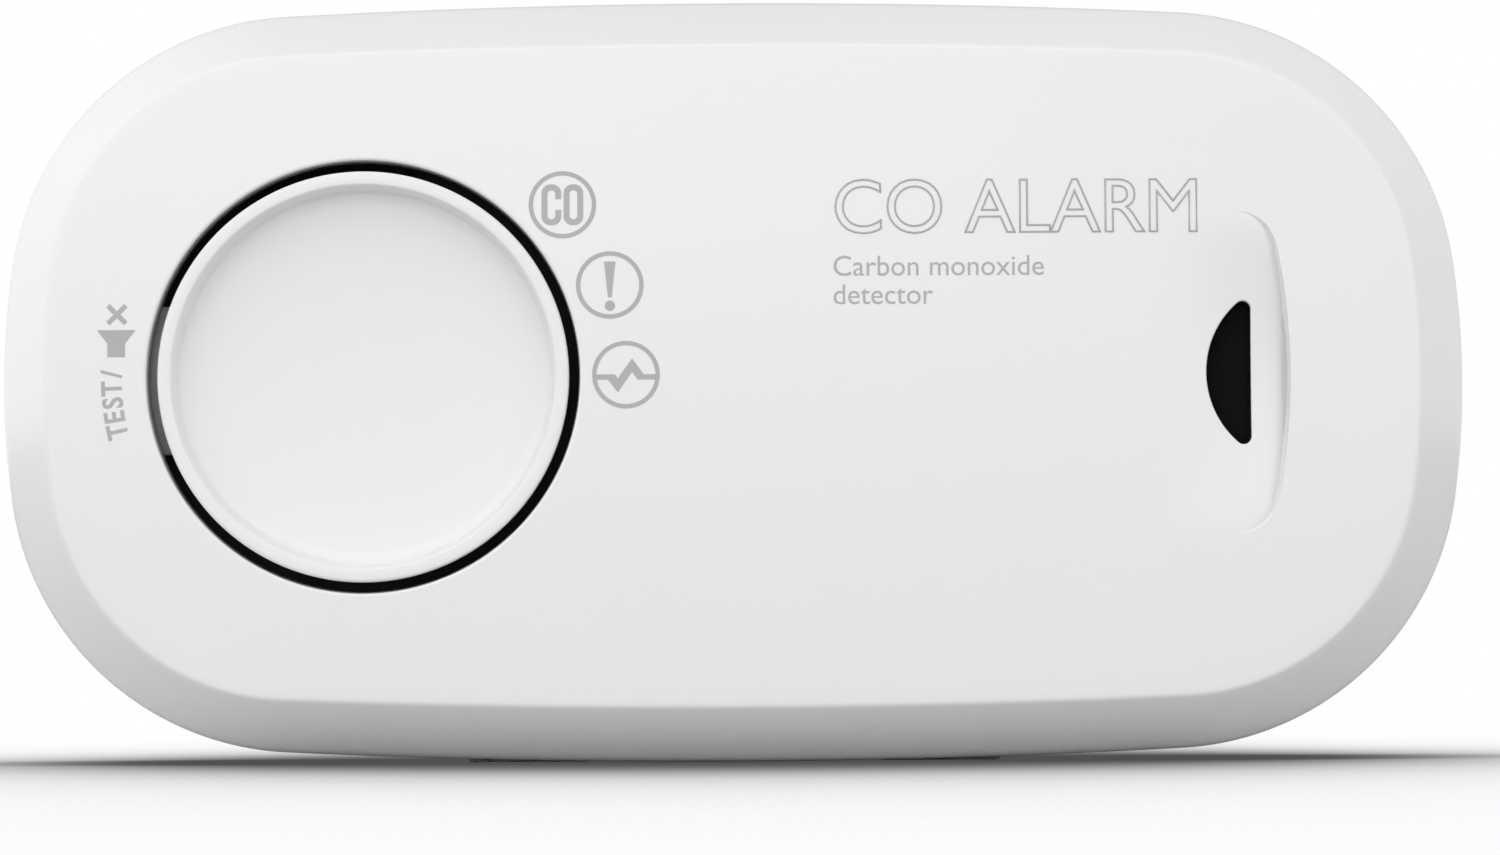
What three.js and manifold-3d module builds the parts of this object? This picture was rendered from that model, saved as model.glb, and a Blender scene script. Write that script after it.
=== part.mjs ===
// Carbon monoxide detector: a two-part plastic case with a round test button, a sensor vent and a battery bay.
//
// Millimetres. Every piece is modelled with x to the right, y up and z towards the front, about the middle of the
// case. The last lines stand the detector on its base, so that +Z is up and the front looks along -Y.

import * as THREE from "three";
import { mergeVertices } from "three/addons/utils/BufferGeometryUtils.js";
import Module from "manifold-3d";

const wasm = await Module();
wasm.setup();

// Case: overall size and the three radii of its outline.
const WIDTH = 120;
const HEIGHT = 62.5;
const DEPTH = 36;
const LONG_RADIUS = 730;
const SIDE_RADIUS = 70;
const CORNER_RADIUS = 24;
const ARC_STEPS = 4;
const WALL = 2;
const GAP = 0.15;

// Levels through the case, from front to back.
const FRONT = DEPTH / 2;
const BACK = -DEPTH / 2;
const WIDEST = 9.5;
const PARTING = 5;
const BEVEL = 4.9;
const INNER_BEVEL = 4.4;
const INNER_FACE = FRONT - WALL;
const INNER_BACK = BACK + WALL;
const CROWN_X = 4400;
const CROWN_Y = 1000;
const TAPER = 2.3;
const PAD_X = 17;
const PAD_HALF_WIDTH = 5;
const PAD_TOP = -28;
const PAD_BACK = -13;
const PAD_FRONT = 4.4;
const INNER_TAPER = 2.1;
const REAR_CHAMFER = 1;
const INNER_WIDEST = 9;
const LIP_INSIDE = 3.3;
const LIP_DEPTH = 2;
const SHELF_INSET = 1;
const SHELF_BACK = 2;
const OVERLAP = 0.5;

// Test button, its hole and its pivot.
const BUTTON_X = -29.8;
const HOLE_RADIUS = 17.5;
const BUTTON_RADIUS = 16.6;
const BUTTON_TOP = 17.6;
const DISH_RADIUS = 15.5;
const DISH_DEPTH = 1.5;
const SKIRT_END = 13.5;
const PIVOT_X = -50.5;
const PIVOT_Z = 13.8;
const PIVOT_RADIUS = 1.2;
const ARM_WIDTH = 12.1;
const ARM_THICK = 1.6;
const EAR_WIDTH = 6;
const EAR_REACH = 19.5;
const CLIP_HALF_LENGTH = 2.3;
const CLIP_WIDTH = 2.5;
const CLIP_CLEARANCE = 0.4;

// Vent over the sensor: a half-moon opening in a shallow scoop.
const VENT_LEFT = 38.2;
const VENT_RIGHT = 41.65;
const VENT_HALF_HEIGHT = 5.6;
const SCOOP_RIGHT = 44.95;
const SCOOP_HALF_HEIGHT = 12.85;
const SENSOR_X = 40;
const SENSOR_RADIUS = 10;
const SENSOR_TOP = 11.2;
const SENSOR_CHAMFER = 0.6;
const GASKET_BACK = 12.95;
const GASKET_FRONT = 15;

// Circuit board and what stands on it.
const BOARD_BACK = 1.4;
const BOARD_FRONT = 3;
const ON_BOARD = BOARD_FRONT + GAP;
const SWITCH_REACH = 21;
const SWITCH_ANGLE = -35;
const SWITCH_X = BUTTON_X + SWITCH_REACH * Math.cos(THREE.MathUtils.degToRad(SWITCH_ANGLE));
const SWITCH_Y = SWITCH_REACH * Math.sin(THREE.MathUtils.degToRad(SWITCH_ANGLE));
const SWITCH_HALF_WIDTH = 3.1;
const SWITCH_TOP = 6.8;
const PLUNGER_TOP = 12;
const PLUNGER_FOOT = 4.6;
const PLUNGER_RADIUS = 1.7;
const LIGHT_REACH = 21.2;
const LIGHT_TOP = INNER_FACE - 0.4;
const LIGHT_ANGLES = { green: 0, amber: 20, red: 40.5 };
const LIGHT_PIPE_RADIUS = 1.3;
const LIGHT_PIPE_FOOT = 4.6;
const SOUNDER_RADIUS = 15;
const SOUNDER_CUP_TOP = 8.8;
const SOUNDER_CAP_BACK = 9;
const SOUNDER_CAP_FRONT = 11;
const COLLAR_RADIUS = 20.5;
const DISC_THICK = 0.25;
const BRASS_RADIUS = 13.6;
const BRASS_BACK = 7;
const CERAMIC_RADIUS = 9.5;
const CERAMIC_BACK = 7.4;

// Battery bay, its two AA cells and its door.
const BAY_X = 29;
const BAY_Y = 15.3;
const BAY_FLOOR = -0.6;
const CELL_RADIUS = 7.1;
const CELL_LENGTH = 50.5;
const CELL_Y = 7.55;
const CELL_Z = -8.2;
const CELL_TIP_X = 27.6;
const PLATE_X = 28.3;
const PLATE_THICK = 0.5;
const PLATE_HALF_WIDTH = 14;
const PLATE_BACK = -14;
const PLATE_FRONT = -2;
const SPOT_RADIUS = 2;
const DOOR_X = 30;
const DOOR_TOP = 17.2;
const DOOR_THICK = 1.8;
const HINGE_Y = -16.6;
const HINGE_Z = BACK + DOOR_THICK;
const HINGE_CLEARANCE = 0.25;
const HINGE_PIN_RADIUS = 1;
const DOOR_CLEARANCE = 0.3;
const HINGE_PIN_LENGTH = 1.7;
const LATCH_WIDTH = 12;
const LATCH_POCKET_DEPTH = 6.8;
const CATCH_BACK = -14.6;
const CATCH_FRONT = -12.9;
const LABEL_HALF_WIDTH = 23;
const LABEL_HALF_HEIGHT = 10;
const LABEL_THICK = 0.12;

// Fasteners.
const CASE_SCREW_X = 46;
const CASE_SCREW_Y = 20;
const CASE_SCREW_SEAT = -9;
const CASE_SCREW = { headRadius: 2.8, headHeight: 2.2, shankRadius: 1.15, length: 14 };
const COVER_POST_RADIUS = 3.2;
const COVER_POST_END = -3.7;
const HOUSING_POST_RADIUS = 3.8;
const HOUSING_POST_END = -4;
const BOARD_SCREW = { headRadius: 2.2, headHeight: 1.6, shankRadius: 0.95, length: 8 };
const BOARD_SCREWS = [
  [-18, 21.6],
  [18, 21.6],
  [0, -23],
];

// Keyholes for two wall screws.
const KEYHOLE_X = 41;
const KEYHOLE_Y = 3;
const KEYHOLE_ENTRY = 4.2;
const KEYHOLE_SLOT = 1.95;
const KEYHOLE_RISE = 8;

// ---------------------------------------------------------------------------------------------------------------
// Shapes and solids
// ---------------------------------------------------------------------------------------------------------------

// The case outline, moved inwards by inset. Its corner arcs touch the long and the short sides without a kink.
function outline(inset) {
  const long = new THREE.Vector2(0, HEIGHT / 2 - LONG_RADIUS);
  const side = new THREE.Vector2(WIDTH / 2 - SIDE_RADIUS, 0);
  const toLong = LONG_RADIUS - CORNER_RADIUS;
  const toSide = SIDE_RADIUS - CORNER_RADIUS;
  const between = side.clone().sub(long);
  const along = (toLong ** 2 - toSide ** 2 + between.lengthSq()) / (2 * between.length());
  const across = Math.sqrt(toLong ** 2 - along ** 2);
  between.normalize();
  const corner = long.clone().addScaledVector(between, along);
  corner.add(new THREE.Vector2(between.y, -between.x).multiplyScalar(across));
  const steep = corner.clone().sub(long).angle();
  const shallow = corner.clone().sub(side).angle();
  const turn = Math.PI;
  const shape = new THREE.Shape();
  shape.absarc(side.x, 0, SIDE_RADIUS - inset, -shallow, shallow);
  shape.absarc(corner.x, corner.y, CORNER_RADIUS - inset, shallow, steep);
  shape.absarc(0, long.y, LONG_RADIUS - inset, steep, turn - steep);
  shape.absarc(-corner.x, corner.y, CORNER_RADIUS - inset, turn - steep, turn - shallow);
  shape.absarc(-side.x, 0, SIDE_RADIUS - inset, turn - shallow, turn + shallow);
  shape.absarc(-corner.x, -corner.y, CORNER_RADIUS - inset, turn + shallow, turn + steep);
  shape.absarc(0, -long.y, LONG_RADIUS - inset, turn + steep, 2 * turn - steep);
  shape.absarc(corner.x, -corner.y, CORNER_RADIUS - inset, 2 * turn - steep, 2 * turn - shallow);
  return shape;
}

// A closed three.js geometry as a solid that can be cut and joined.
function solid(geometry) {
  const bare = geometry.clone();
  bare.deleteAttribute("normal");
  bare.deleteAttribute("uv");
  const merged = mergeVertices(bare, 1e-4);
  return new wasm.Manifold(
    new wasm.Mesh({
      numProp: 3,
      vertProperties: new Float32Array(merged.attributes.position.array),
      triVerts: new Uint32Array(merged.index.array),
    }),
  );
}

// A solid as a named mesh of the detector.
function piece(name, body, material) {
  const cut = body.getMesh();
  const points = new Float32Array(cut.numVert * 3);
  for (let i = 0; i < cut.numVert; i++) {
    points.set(cut.vertProperties.subarray(i * cut.numProp, i * cut.numProp + 3), i * 3);
  }
  const geometry = new THREE.BufferGeometry();
  geometry.setAttribute("position", new THREE.BufferAttribute(points, 3));
  geometry.setIndex(new THREE.BufferAttribute(new Uint32Array(cut.triVerts), 1));
  geometry.computeVertexNormals();
  const mesh = new THREE.Mesh(geometry, material);
  mesh.name = name;
  return mesh;
}

function block(x0, x1, y0, y1, z0, z1) {
  const box = new THREE.BoxGeometry(x1 - x0, y1 - y0, z1 - z0);
  return solid(box.translate((x0 + x1) / 2, (y0 + y1) / 2, (z0 + z1) / 2));
}

// A round rod along z from z0 to z1.
function rod(radius, z0, z1, x = 0, y = 0, sides = 24) {
  const cylinder = new THREE.CylinderGeometry(radius, radius, z1 - z0, sides);
  return solid(cylinder.rotateX(Math.PI / 2).translate(x, y, (z0 + z1) / 2));
}

// A round rod along x from x0 to x1.
function crossRod(radius, x0, x1, y, z, sides = 24) {
  const cylinder = new THREE.CylinderGeometry(radius, radius, x1 - x0, sides);
  return solid(cylinder.rotateZ(-Math.PI / 2).translate((x0 + x1) / 2, y, z));
}

// A flat shape given a thickness from z0 to z1.
function slab(shape, z0, z1) {
  const options = { depth: z1 - z0, bevelEnabled: false, curveSegments: ARC_STEPS };
  return solid(new THREE.ExtrudeGeometry(shape, options).translate(0, 0, z0));
}

// A slab between z0 and z1 whose two ends narrow by size over a length of reach beyond those levels.
function chamfered(shape, z0, z1, size, reach) {
  const options = {
    depth: z1 - z0,
    bevelEnabled: true,
    bevelSize: size,
    bevelThickness: reach,
    bevelSegments: 1,
    curveSegments: ARC_STEPS,
  };
  return solid(new THREE.ExtrudeGeometry(shape, options).translate(0, 0, z0));
}

// A turned solid from points of radius and level, about a line along z through x, y.
function turned(profile, x = 0, y = 0, sides = 32) {
  const points = profile.map(([radius, level]) => new THREE.Vector2(radius, level));
  const lathe = new THREE.LatheGeometry(points, sides);
  return solid(lathe.rotateX(Math.PI / 2).translate(x, y, 0));
}

function ring(outer, inner, z0, z1, x = 0, y = 0, sides = 32) {
  return rod(outer, z0, z1, x, y, sides).subtract(rod(inner, z0 - 1, z1 + 1, x, y, sides));
}

// The space in front of and behind a level, wider than the case.
function ahead(level) {
  return block(-WIDTH, WIDTH, -WIDTH, WIDTH, level, DEPTH * 2);
}

function behind(level) {
  return block(-WIDTH, WIDTH, -WIDTH, WIDTH, -DEPTH * 2, level);
}

// A solid turned about the button's centre by an angle in degrees.
function aroundButton(geometry, degrees) {
  const angle = THREE.MathUtils.degToRad(degrees);
  return solid(geometry.rotateZ(angle).translate(BUTTON_X, 0, 0));
}

function atAngle(reach, degrees) {
  const angle = THREE.MathUtils.degToRad(degrees);
  return [BUTTON_X + reach * Math.cos(angle), reach * Math.sin(angle)];
}

function caseScrewPlaces() {
  return [1, -1].flatMap((up) => [-1, 1].map((right) => [right * CASE_SCREW_X, up * CASE_SCREW_Y]));
}

// ---------------------------------------------------------------------------------------------------------------
// Materials
// ---------------------------------------------------------------------------------------------------------------

function finish(color, roughness, metalness = 0) {
  return new THREE.MeshStandardMaterial({ color, roughness, metalness });
}

const whitePlastic = finish(0xeeeeec, 0.28);
const rearPlastic = finish(0xebebe8, 0.45);
const buttonPlastic = finish(0xeeeeec, 0.3);
const blackPlastic = finish(0x151515, 0.5);
const screenCloth = finish(0x1b1b1c, 0.8);
const foam = finish(0x2a2a2a, 0.95);
const boardGreen = finish(0x1f5b34, 0.5);
const chipBlack = finish(0x1c1c1e, 0.55);
const steel = finish(0xb9bbbd, 0.35, 1);
const brass = finish(0xc9a24c, 0.35, 1);
const ceramic = finish(0xd9d4c4, 0.6);
const clearPlastic = finish(0xdfe4e6, 0.1);
const redLens = finish(0xb3261e, 0.2);
const amberLens = finish(0xd98a1c, 0.2);
const greenLens = finish(0x2f8f46, 0.2);
const cellSleeve = finish(0x3c4a57, 0.35);
const labelFilm = finish(0xd9dadb, 0.45);

// ---------------------------------------------------------------------------------------------------------------
// Case
// ---------------------------------------------------------------------------------------------------------------

// Everything behind the crowned front face, which is highest at the middle of the case.
function crownedBlock() {
  const reach = 1.25;
  const rings = 7;
  const halfX = WIDTH / 2;
  const halfY = HEIGHT / 2;
  // Both axes fall by the same amount at the edge of the unit circle, so a turned profile can be stretched to fit.
  const fall = (halfX ** 2 / CROWN_X + halfY ** 2 / CROWN_Y) / 2;
  const profile = [new THREE.Vector2(0, -DEPTH * 2), new THREE.Vector2(reach, -DEPTH * 2)];
  for (let i = rings; i >= 0; i--) {
    const radius = (reach * i) / rings;
    profile.push(new THREE.Vector2(radius, FRONT - fall * radius ** 2));
  }
  const lathe = new THREE.LatheGeometry(profile, 32).rotateX(Math.PI / 2);
  return solid(lathe.scale(halfX, halfY, 1));
}

function ventShape() {
  const corner = 0.6;
  const bow = 0.7;
  const middle = (VENT_LEFT + VENT_RIGHT) / 2;
  const shape = new THREE.Shape();
  shape.moveTo(VENT_RIGHT, corner - VENT_HALF_HEIGHT);
  shape.lineTo(VENT_RIGHT, VENT_HALF_HEIGHT - corner);
  shape.quadraticCurveTo(VENT_RIGHT, VENT_HALF_HEIGHT, VENT_RIGHT - corner, VENT_HALF_HEIGHT);
  shape.quadraticCurveTo(middle, VENT_HALF_HEIGHT, VENT_LEFT + bow, VENT_HALF_HEIGHT / 2);
  shape.quadraticCurveTo(VENT_LEFT - bow, 0, VENT_LEFT + bow, -VENT_HALF_HEIGHT / 2);
  shape.quadraticCurveTo(middle, -VENT_HALF_HEIGHT, VENT_RIGHT - corner, -VENT_HALF_HEIGHT);
  shape.quadraticCurveTo(VENT_RIGHT, -VENT_HALF_HEIGHT, VENT_RIGHT, corner - VENT_HALF_HEIGHT);
  return shape;
}

// The hollow beside the vent: part of an egg-shaped dip, ended on its right by a steep curved step.
function scoop() {
  const depth = 1;
  const length = 18;
  const corner = 2.6;
  const bow = 0.7;
  const dipWidth = 43;
  const dipHeight = 58;
  const dipDepth = 30;
  const dip = new THREE.SphereGeometry(1, 64, 40).scale(dipWidth, dipHeight, dipDepth);
  const side = SCOOP_RIGHT - bow;
  const step = new THREE.Shape();
  step.moveTo(SCOOP_RIGHT - length, -SCOOP_HALF_HEIGHT);
  step.lineTo(side - corner, -SCOOP_HALF_HEIGHT);
  step.quadraticCurveTo(side, -SCOOP_HALF_HEIGHT, side, corner - SCOOP_HALF_HEIGHT);
  step.quadraticCurveTo(SCOOP_RIGHT + bow, 0, side, SCOOP_HALF_HEIGHT - corner);
  step.quadraticCurveTo(side, SCOOP_HALF_HEIGHT, side - corner, SCOOP_HALF_HEIGHT);
  step.lineTo(SCOOP_RIGHT - length, SCOOP_HALF_HEIGHT);
  const centre = FRONT - SCOOP_RIGHT ** 2 / CROWN_X - depth + dipDepth;
  return solid(dip.translate(side, 0, centre)).intersect(slab(step, SENSOR_TOP, DEPTH));
}

// Two clips under the front face that hold the ends of the button's pivot.
function pivotClips() {
  const lip = PIVOT_RADIUS + CLIP_CLEARANCE;
  const mouthHalf = PIVOT_RADIUS - 0.2;
  const bore = new THREE.CylinderGeometry(PIVOT_RADIUS + GAP, PIVOT_RADIUS + GAP, HEIGHT / 2, 16);
  const boreSolid = solid(bore.translate(PIVOT_X, 0, PIVOT_Z));
  const clips = [1, -1].map((up) => {
    const near = up * (ARM_WIDTH / 2 + CLIP_CLEARANCE);
    const [low, high] = [near, near + up * CLIP_WIDTH].sort((a, b) => a - b);
    const [left, right] = [PIVOT_X - CLIP_HALF_LENGTH, PIVOT_X + CLIP_HALF_LENGTH];
    const body = block(left, right, low, high, PIVOT_Z - lip, INNER_FACE + OVERLAP);
    const mouth = block(PIVOT_X - mouthHalf, PIVOT_X + mouthHalf, low - 1, high + 1, PIVOT_Z - 2 * lip, PIVOT_Z);
    return body.subtract(boreSolid).subtract(mouth);
  });
  return clips[0].add(clips[1]);
}

function frontCover() {
  const pilotRadius = 1.4;
  const pilotEnd = 8;
  const start = PARTING - 4;
  const outer = chamfered(outline(BEVEL), start, WIDEST, BEVEL, FRONT - WIDEST);
  const innerOutline = outline(WALL + INNER_BEVEL);
  const inner = chamfered(innerOutline, start, INNER_WIDEST, INNER_BEVEL, INNER_FACE - INNER_WIDEST);
  let cover = outer.intersect(crownedBlock()).intersect(ahead(PARTING)).subtract(inner);
  for (const [x, y] of caseScrewPlaces()) {
    cover = cover.add(rod(COVER_POST_RADIUS, COVER_POST_END, INNER_FACE + OVERLAP, x, y, 20));
    cover = cover.subtract(rod(pilotRadius, COVER_POST_END - 1, pilotEnd, x, y, 12));
  }
  cover = cover.add(pivotClips());
  cover = cover.subtract(rod(HOLE_RADIUS, PARTING, DEPTH, BUTTON_X, 0, 48));
  cover = cover.subtract(scoop());
  return cover.subtract(slab(ventShape(), PARTING, DEPTH));
}

// A low pad under the case that lets its rounded underside stand level.
function standingPad(right) {
  const x = right * PAD_X;
  return block(x - PAD_HALF_WIDTH, x + PAD_HALF_WIDTH, -HEIGHT / 2, PAD_TOP, PAD_BACK, PAD_FRONT);
}

function keyholeShape(x) {
  const shape = new THREE.Shape();
  const meet = Math.sqrt(KEYHOLE_ENTRY ** 2 - KEYHOLE_SLOT ** 2);
  const spread = Math.asin(KEYHOLE_SLOT / KEYHOLE_ENTRY);
  shape.absarc(x, KEYHOLE_Y, KEYHOLE_ENTRY, Math.PI / 2 + spread, Math.PI * 2.5 - spread);
  shape.lineTo(x + KEYHOLE_SLOT, KEYHOLE_Y + meet);
  shape.absarc(x, KEYHOLE_Y + KEYHOLE_RISE, KEYHOLE_SLOT, 0, Math.PI);
  return shape;
}

// Each keyhole opens into a closed cup, so that the head of a wall screw cannot reach the inside of the case.
function addKeyholes(housing) {
  const wall = 1.2;
  const roomHalfWidth = 5.2;
  const roomBottom = -1.8;
  const roomTop = 14;
  const roomFront = -10.8;
  for (const x of [-KEYHOLE_X, KEYHOLE_X]) {
    const [left, right] = [x - roomHalfWidth, x + roomHalfWidth];
    const room = block(left, right, roomBottom, roomTop, INNER_BACK, roomFront);
    const [bottom, top] = [roomBottom - wall, roomTop + wall];
    const cup = block(left - wall, right + wall, bottom, top, INNER_BACK - 1, roomFront + wall);
    housing = housing.add(cup).subtract(room).subtract(slab(keyholeShape(x), BACK - 1, INNER_BACK + 1));
  }
  return housing;
}

// The battery bay, open to the back, with its door ledge, hinge channel, latch pocket and thumb notch.
function addBay(housing) {
  const channel = DOOR_THICK + HINGE_CLEARANCE;
  const bottom = HINGE_Y - channel - 1.25;
  const wall = 1.8;
  const cheekWidth = 3.2;
  const cheekTop = HINGE_Y + 2.6;
  const cheekFront = -13.4;
  let bay = block(-BAY_X - wall, BAY_X + wall, bottom, BAY_Y + 3, BACK + OVERLAP, BAY_FLOOR + 1);
  for (const side of [-1, 1]) {
    const [left, right] = [side * (BAY_X + 1), side * (BAY_X + 1 + cheekWidth)].sort((a, b) => a - b);
    bay = bay.add(block(left, right, bottom, cheekTop, BACK + OVERLAP, cheekFront));
  }
  housing = housing.add(bay);
  housing = housing.subtract(block(-BAY_X, BAY_X, -BAY_Y, BAY_Y, BACK - 1, BAY_FLOOR));
  const doorway = DOOR_X + DOOR_CLEARANCE;
  const ledge = BACK + DOOR_THICK + 0.1;
  housing = housing.subtract(block(-doorway, doorway, HINGE_Y, DOOR_TOP + DOOR_CLEARANCE, BACK - 1, ledge));
  housing = housing.subtract(crossRod(channel, -doorway, doorway, HINGE_Y, HINGE_Z));
  // The channel opens straight out of the back, so the door can turn through a right angle.
  housing = housing.subtract(block(-doorway, doorway, HINGE_Y - channel, HINGE_Y + 0.1, BACK - 1, HINGE_Z));
  const pinHole = DOOR_X + HINGE_PIN_LENGTH + DOOR_CLEARANCE;
  housing = housing.subtract(crossRod(HINGE_PIN_RADIUS + GAP, -pinHole, pinHole, HINGE_Y, HINGE_Z, 16));
  // The latch bends into a pocket, and its catch snaps into a groove above it.
  const pocket = LATCH_WIDTH / 2 + 1;
  const pocketTop = DOOR_TOP + 0.1;
  const grooveTop = pocketTop + 0.6;
  housing = housing.subtract(block(-pocket, pocket, 14, pocketTop, BACK - 1, BACK + LATCH_POCKET_DEPTH));
  housing = housing.subtract(block(-pocket, pocket, 17, grooveTop, CATCH_BACK, CATCH_FRONT));
  const tailHole = { x: 0.5, y: 2 };
  for (const side of [1, -1]) {
    const [x, y] = [PLATE_X + PLATE_THICK / 2, side * CELL_Y];
    housing = housing.subtract(
      block(x - tailHole.x, x + tailHole.x, y - tailHole.y, y + tailHole.y, PLATE_FRONT, BOARD_BACK - 0.4),
    );
  }
  const thumbWidth = 8;
  const thumbHeight = 4.5;
  const thumbDepth = 1.3;
  const thumb = new THREE.SphereGeometry(1, 32, 16).scale(thumbWidth, thumbHeight, thumbDepth);
  return housing.subtract(solid(thumb.translate(0, DOOR_TOP + 0.6, BACK)));
}

function rearHousing() {
  const edgeReach = 5;
  const outer = chamfered(outline(TAPER), PARTING, PARTING + 1, TAPER, PARTING - BACK);
  const edge = chamfered(outline(TAPER + REAR_CHAMFER), BACK + edgeReach, DEPTH, edgeReach, edgeReach);
  const inner = chamfered(outline(WALL + INNER_TAPER), PARTING, PARTING + 4, INNER_TAPER, PARTING - INNER_BACK);
  let housing = outer.intersect(edge).add(standingPad(-1)).add(standingPad(1));
  housing = housing.intersect(behind(PARTING - GAP)).subtract(inner);
  const hollow = slab(outline(LIP_INSIDE), 0, 2 * PARTING);
  const shelf = slab(outline(SHELF_INSET), SHELF_BACK, PARTING - GAP).subtract(hollow);
  const lip = slab(outline(WALL + GAP), PARTING - 1, PARTING + LIP_DEPTH).subtract(hollow);
  housing = housing.add(shelf).add(lip);
  for (const [x, y] of caseScrewPlaces()) {
    housing = housing.add(rod(HOUSING_POST_RADIUS, INNER_BACK - 1, HOUSING_POST_END, x, y, 20));
  }
  const boardPost = 2.8;
  const boardPilot = 1.15;
  for (const [x, y] of BOARD_SCREWS) {
    housing = housing.add(rod(boardPost, INNER_BACK - 1, BOARD_BACK - GAP, x, y, 16));
    housing = housing.subtract(rod(boardPilot, CASE_SCREW_SEAT, BOARD_FRONT, x, y, 12));
  }
  housing = addKeyholes(addBay(housing));
  const recess = CASE_SCREW.headRadius + 0.3;
  const bore = CASE_SCREW.shankRadius + 0.45;
  const coverPostRoom = 4.5;
  for (const [x, y] of caseScrewPlaces()) {
    housing = housing.subtract(rod(recess, BACK - 1, CASE_SCREW_SEAT, x, y, 20));
    housing = housing.subtract(rod(bore, BACK, 0, x, y, 12));
    housing = housing.subtract(rod(coverPostRoom, HOUSING_POST_END, 2 * PARTING, x, y, 20));
  }
  return housing;
}

// ---------------------------------------------------------------------------------------------------------------
// Test button and switch
// ---------------------------------------------------------------------------------------------------------------

// A dished disc with a skirt. An arm on its left carries the pivot, and ears under the front face hold it in.
function testButton() {
  const skin = 1.4;
  const edge = 0.3;
  const floor = BUTTON_TOP - DISH_DEPTH;
  const skirtInside = BUTTON_RADIUS - skin;
  const cap = turned(
    [
      [0, floor - skin],
      [skirtInside, floor - skin],
      [skirtInside, SKIRT_END],
      [BUTTON_RADIUS, SKIRT_END],
      [BUTTON_RADIUS, BUTTON_TOP - edge],
      [BUTTON_RADIUS - edge, BUTTON_TOP],
      [DISH_RADIUS, BUTTON_TOP],
      [DISH_RADIUS - 0.5, BUTTON_TOP - DISH_DEPTH / 2],
      [DISH_RADIUS - 1.2, floor + 0.25],
      [DISH_RADIUS - 2.2, floor],
      [0, floor - 0.2],
    ],
    BUTTON_X,
    0,
    48,
  );
  const armEnd = BUTTON_X - BUTTON_RADIUS + skin / 2;
  const [armBack, armFront] = [PIVOT_Z - ARM_THICK / 2, PIVOT_Z + ARM_THICK / 2];
  const arm = block(PIVOT_X, armEnd, -ARM_WIDTH / 2, ARM_WIDTH / 2, armBack, armFront);
  const shaftLength = ARM_WIDTH + 2 * (CLIP_CLEARANCE + CLIP_WIDTH) - CLIP_CLEARANCE;
  const shaft = new THREE.CylinderGeometry(PIVOT_RADIUS, PIVOT_RADIUS, shaftLength, 16);
  let button = cap.add(arm).add(solid(shaft.translate(PIVOT_X, 0, PIVOT_Z)));
  const ears = [
    { degrees: SWITCH_ANGLE, reach: SWITCH_REACH + 2.2, end: PLUNGER_TOP + GAP },
    { degrees: 75, reach: EAR_REACH, end: SKIRT_END },
    { degrees: -105, reach: EAR_REACH, end: SKIRT_END },
  ];
  for (const { degrees, reach, end } of ears) {
    const start = BUTTON_RADIUS - 1;
    const top = INNER_FACE - 0.4;
    const ear = new THREE.BoxGeometry(reach - start, EAR_WIDTH, top - end);
    button = button.add(aroundButton(ear.translate((reach + start) / 2, 0, (top + end) / 2), degrees));
  }
  return button;
}

function switchBody() {
  const half = SWITCH_HALF_WIDTH;
  const box = block(SWITCH_X - half, SWITCH_X + half, SWITCH_Y - half, SWITCH_Y + half, ON_BOARD, SWITCH_TOP);
  return box.subtract(rod(PLUNGER_RADIUS + 0.2, PLUNGER_FOOT - 0.9, SWITCH_TOP + 1, SWITCH_X, SWITCH_Y, 16));
}

function switchPlunger() {
  const edge = 0.3;
  return turned(
    [
      [0, PLUNGER_FOOT],
      [PLUNGER_RADIUS, PLUNGER_FOOT],
      [PLUNGER_RADIUS, PLUNGER_TOP - edge],
      [PLUNGER_RADIUS - edge, PLUNGER_TOP],
      [0, PLUNGER_TOP],
    ],
    SWITCH_X,
    SWITCH_Y,
    16,
  );
}

// ---------------------------------------------------------------------------------------------------------------
// Circuit board and its components
// ---------------------------------------------------------------------------------------------------------------

function circuitBoard() {
  const inset = 4.8;
  const postHole = 3.9;
  const screwHole = 1.3;
  const [below, above] = [BOARD_BACK - 1, BOARD_FRONT + 1];
  let board = slab(outline(inset), BOARD_BACK, BOARD_FRONT);
  for (const [x, y] of caseScrewPlaces()) {
    board = board.subtract(rod(postHole, below, above, x, y, 20));
  }
  for (const [x, y] of BOARD_SCREWS) {
    board = board.subtract(rod(screwHole, below, above, x, y, 12));
  }
  const [slotLeft, slotRight] = [PLATE_X - 0.3, PLATE_X + PLATE_THICK + 0.3];
  for (const y of [CELL_Y, -CELL_Y]) {
    board = board.subtract(block(slotLeft, slotRight, y - 2, y + 2, below, above));
  }
  return board;
}

// One clear moulding: three light pipes joined by a curved bridge.
function lightGuide() {
  const bridge = new THREE.Shape();
  const start = THREE.MathUtils.degToRad(LIGHT_ANGLES.green);
  const end = THREE.MathUtils.degToRad(LIGHT_ANGLES.red);
  bridge.absarc(BUTTON_X, 0, LIGHT_REACH + 1, start, end, false);
  bridge.absarc(BUTTON_X, 0, LIGHT_REACH - 1, end, start, true);
  const bridgeBack = 7.2;
  const bridgeThick = 1.4;
  let guide = slab(bridge, bridgeBack, bridgeBack + bridgeThick);
  for (const degrees of Object.values(LIGHT_ANGLES)) {
    const [x, y] = atAngle(LIGHT_REACH, degrees);
    guide = guide.add(rod(LIGHT_PIPE_RADIUS, LIGHT_PIPE_FOOT, LIGHT_TOP, x, y, 16));
  }
  return guide;
}

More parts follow.
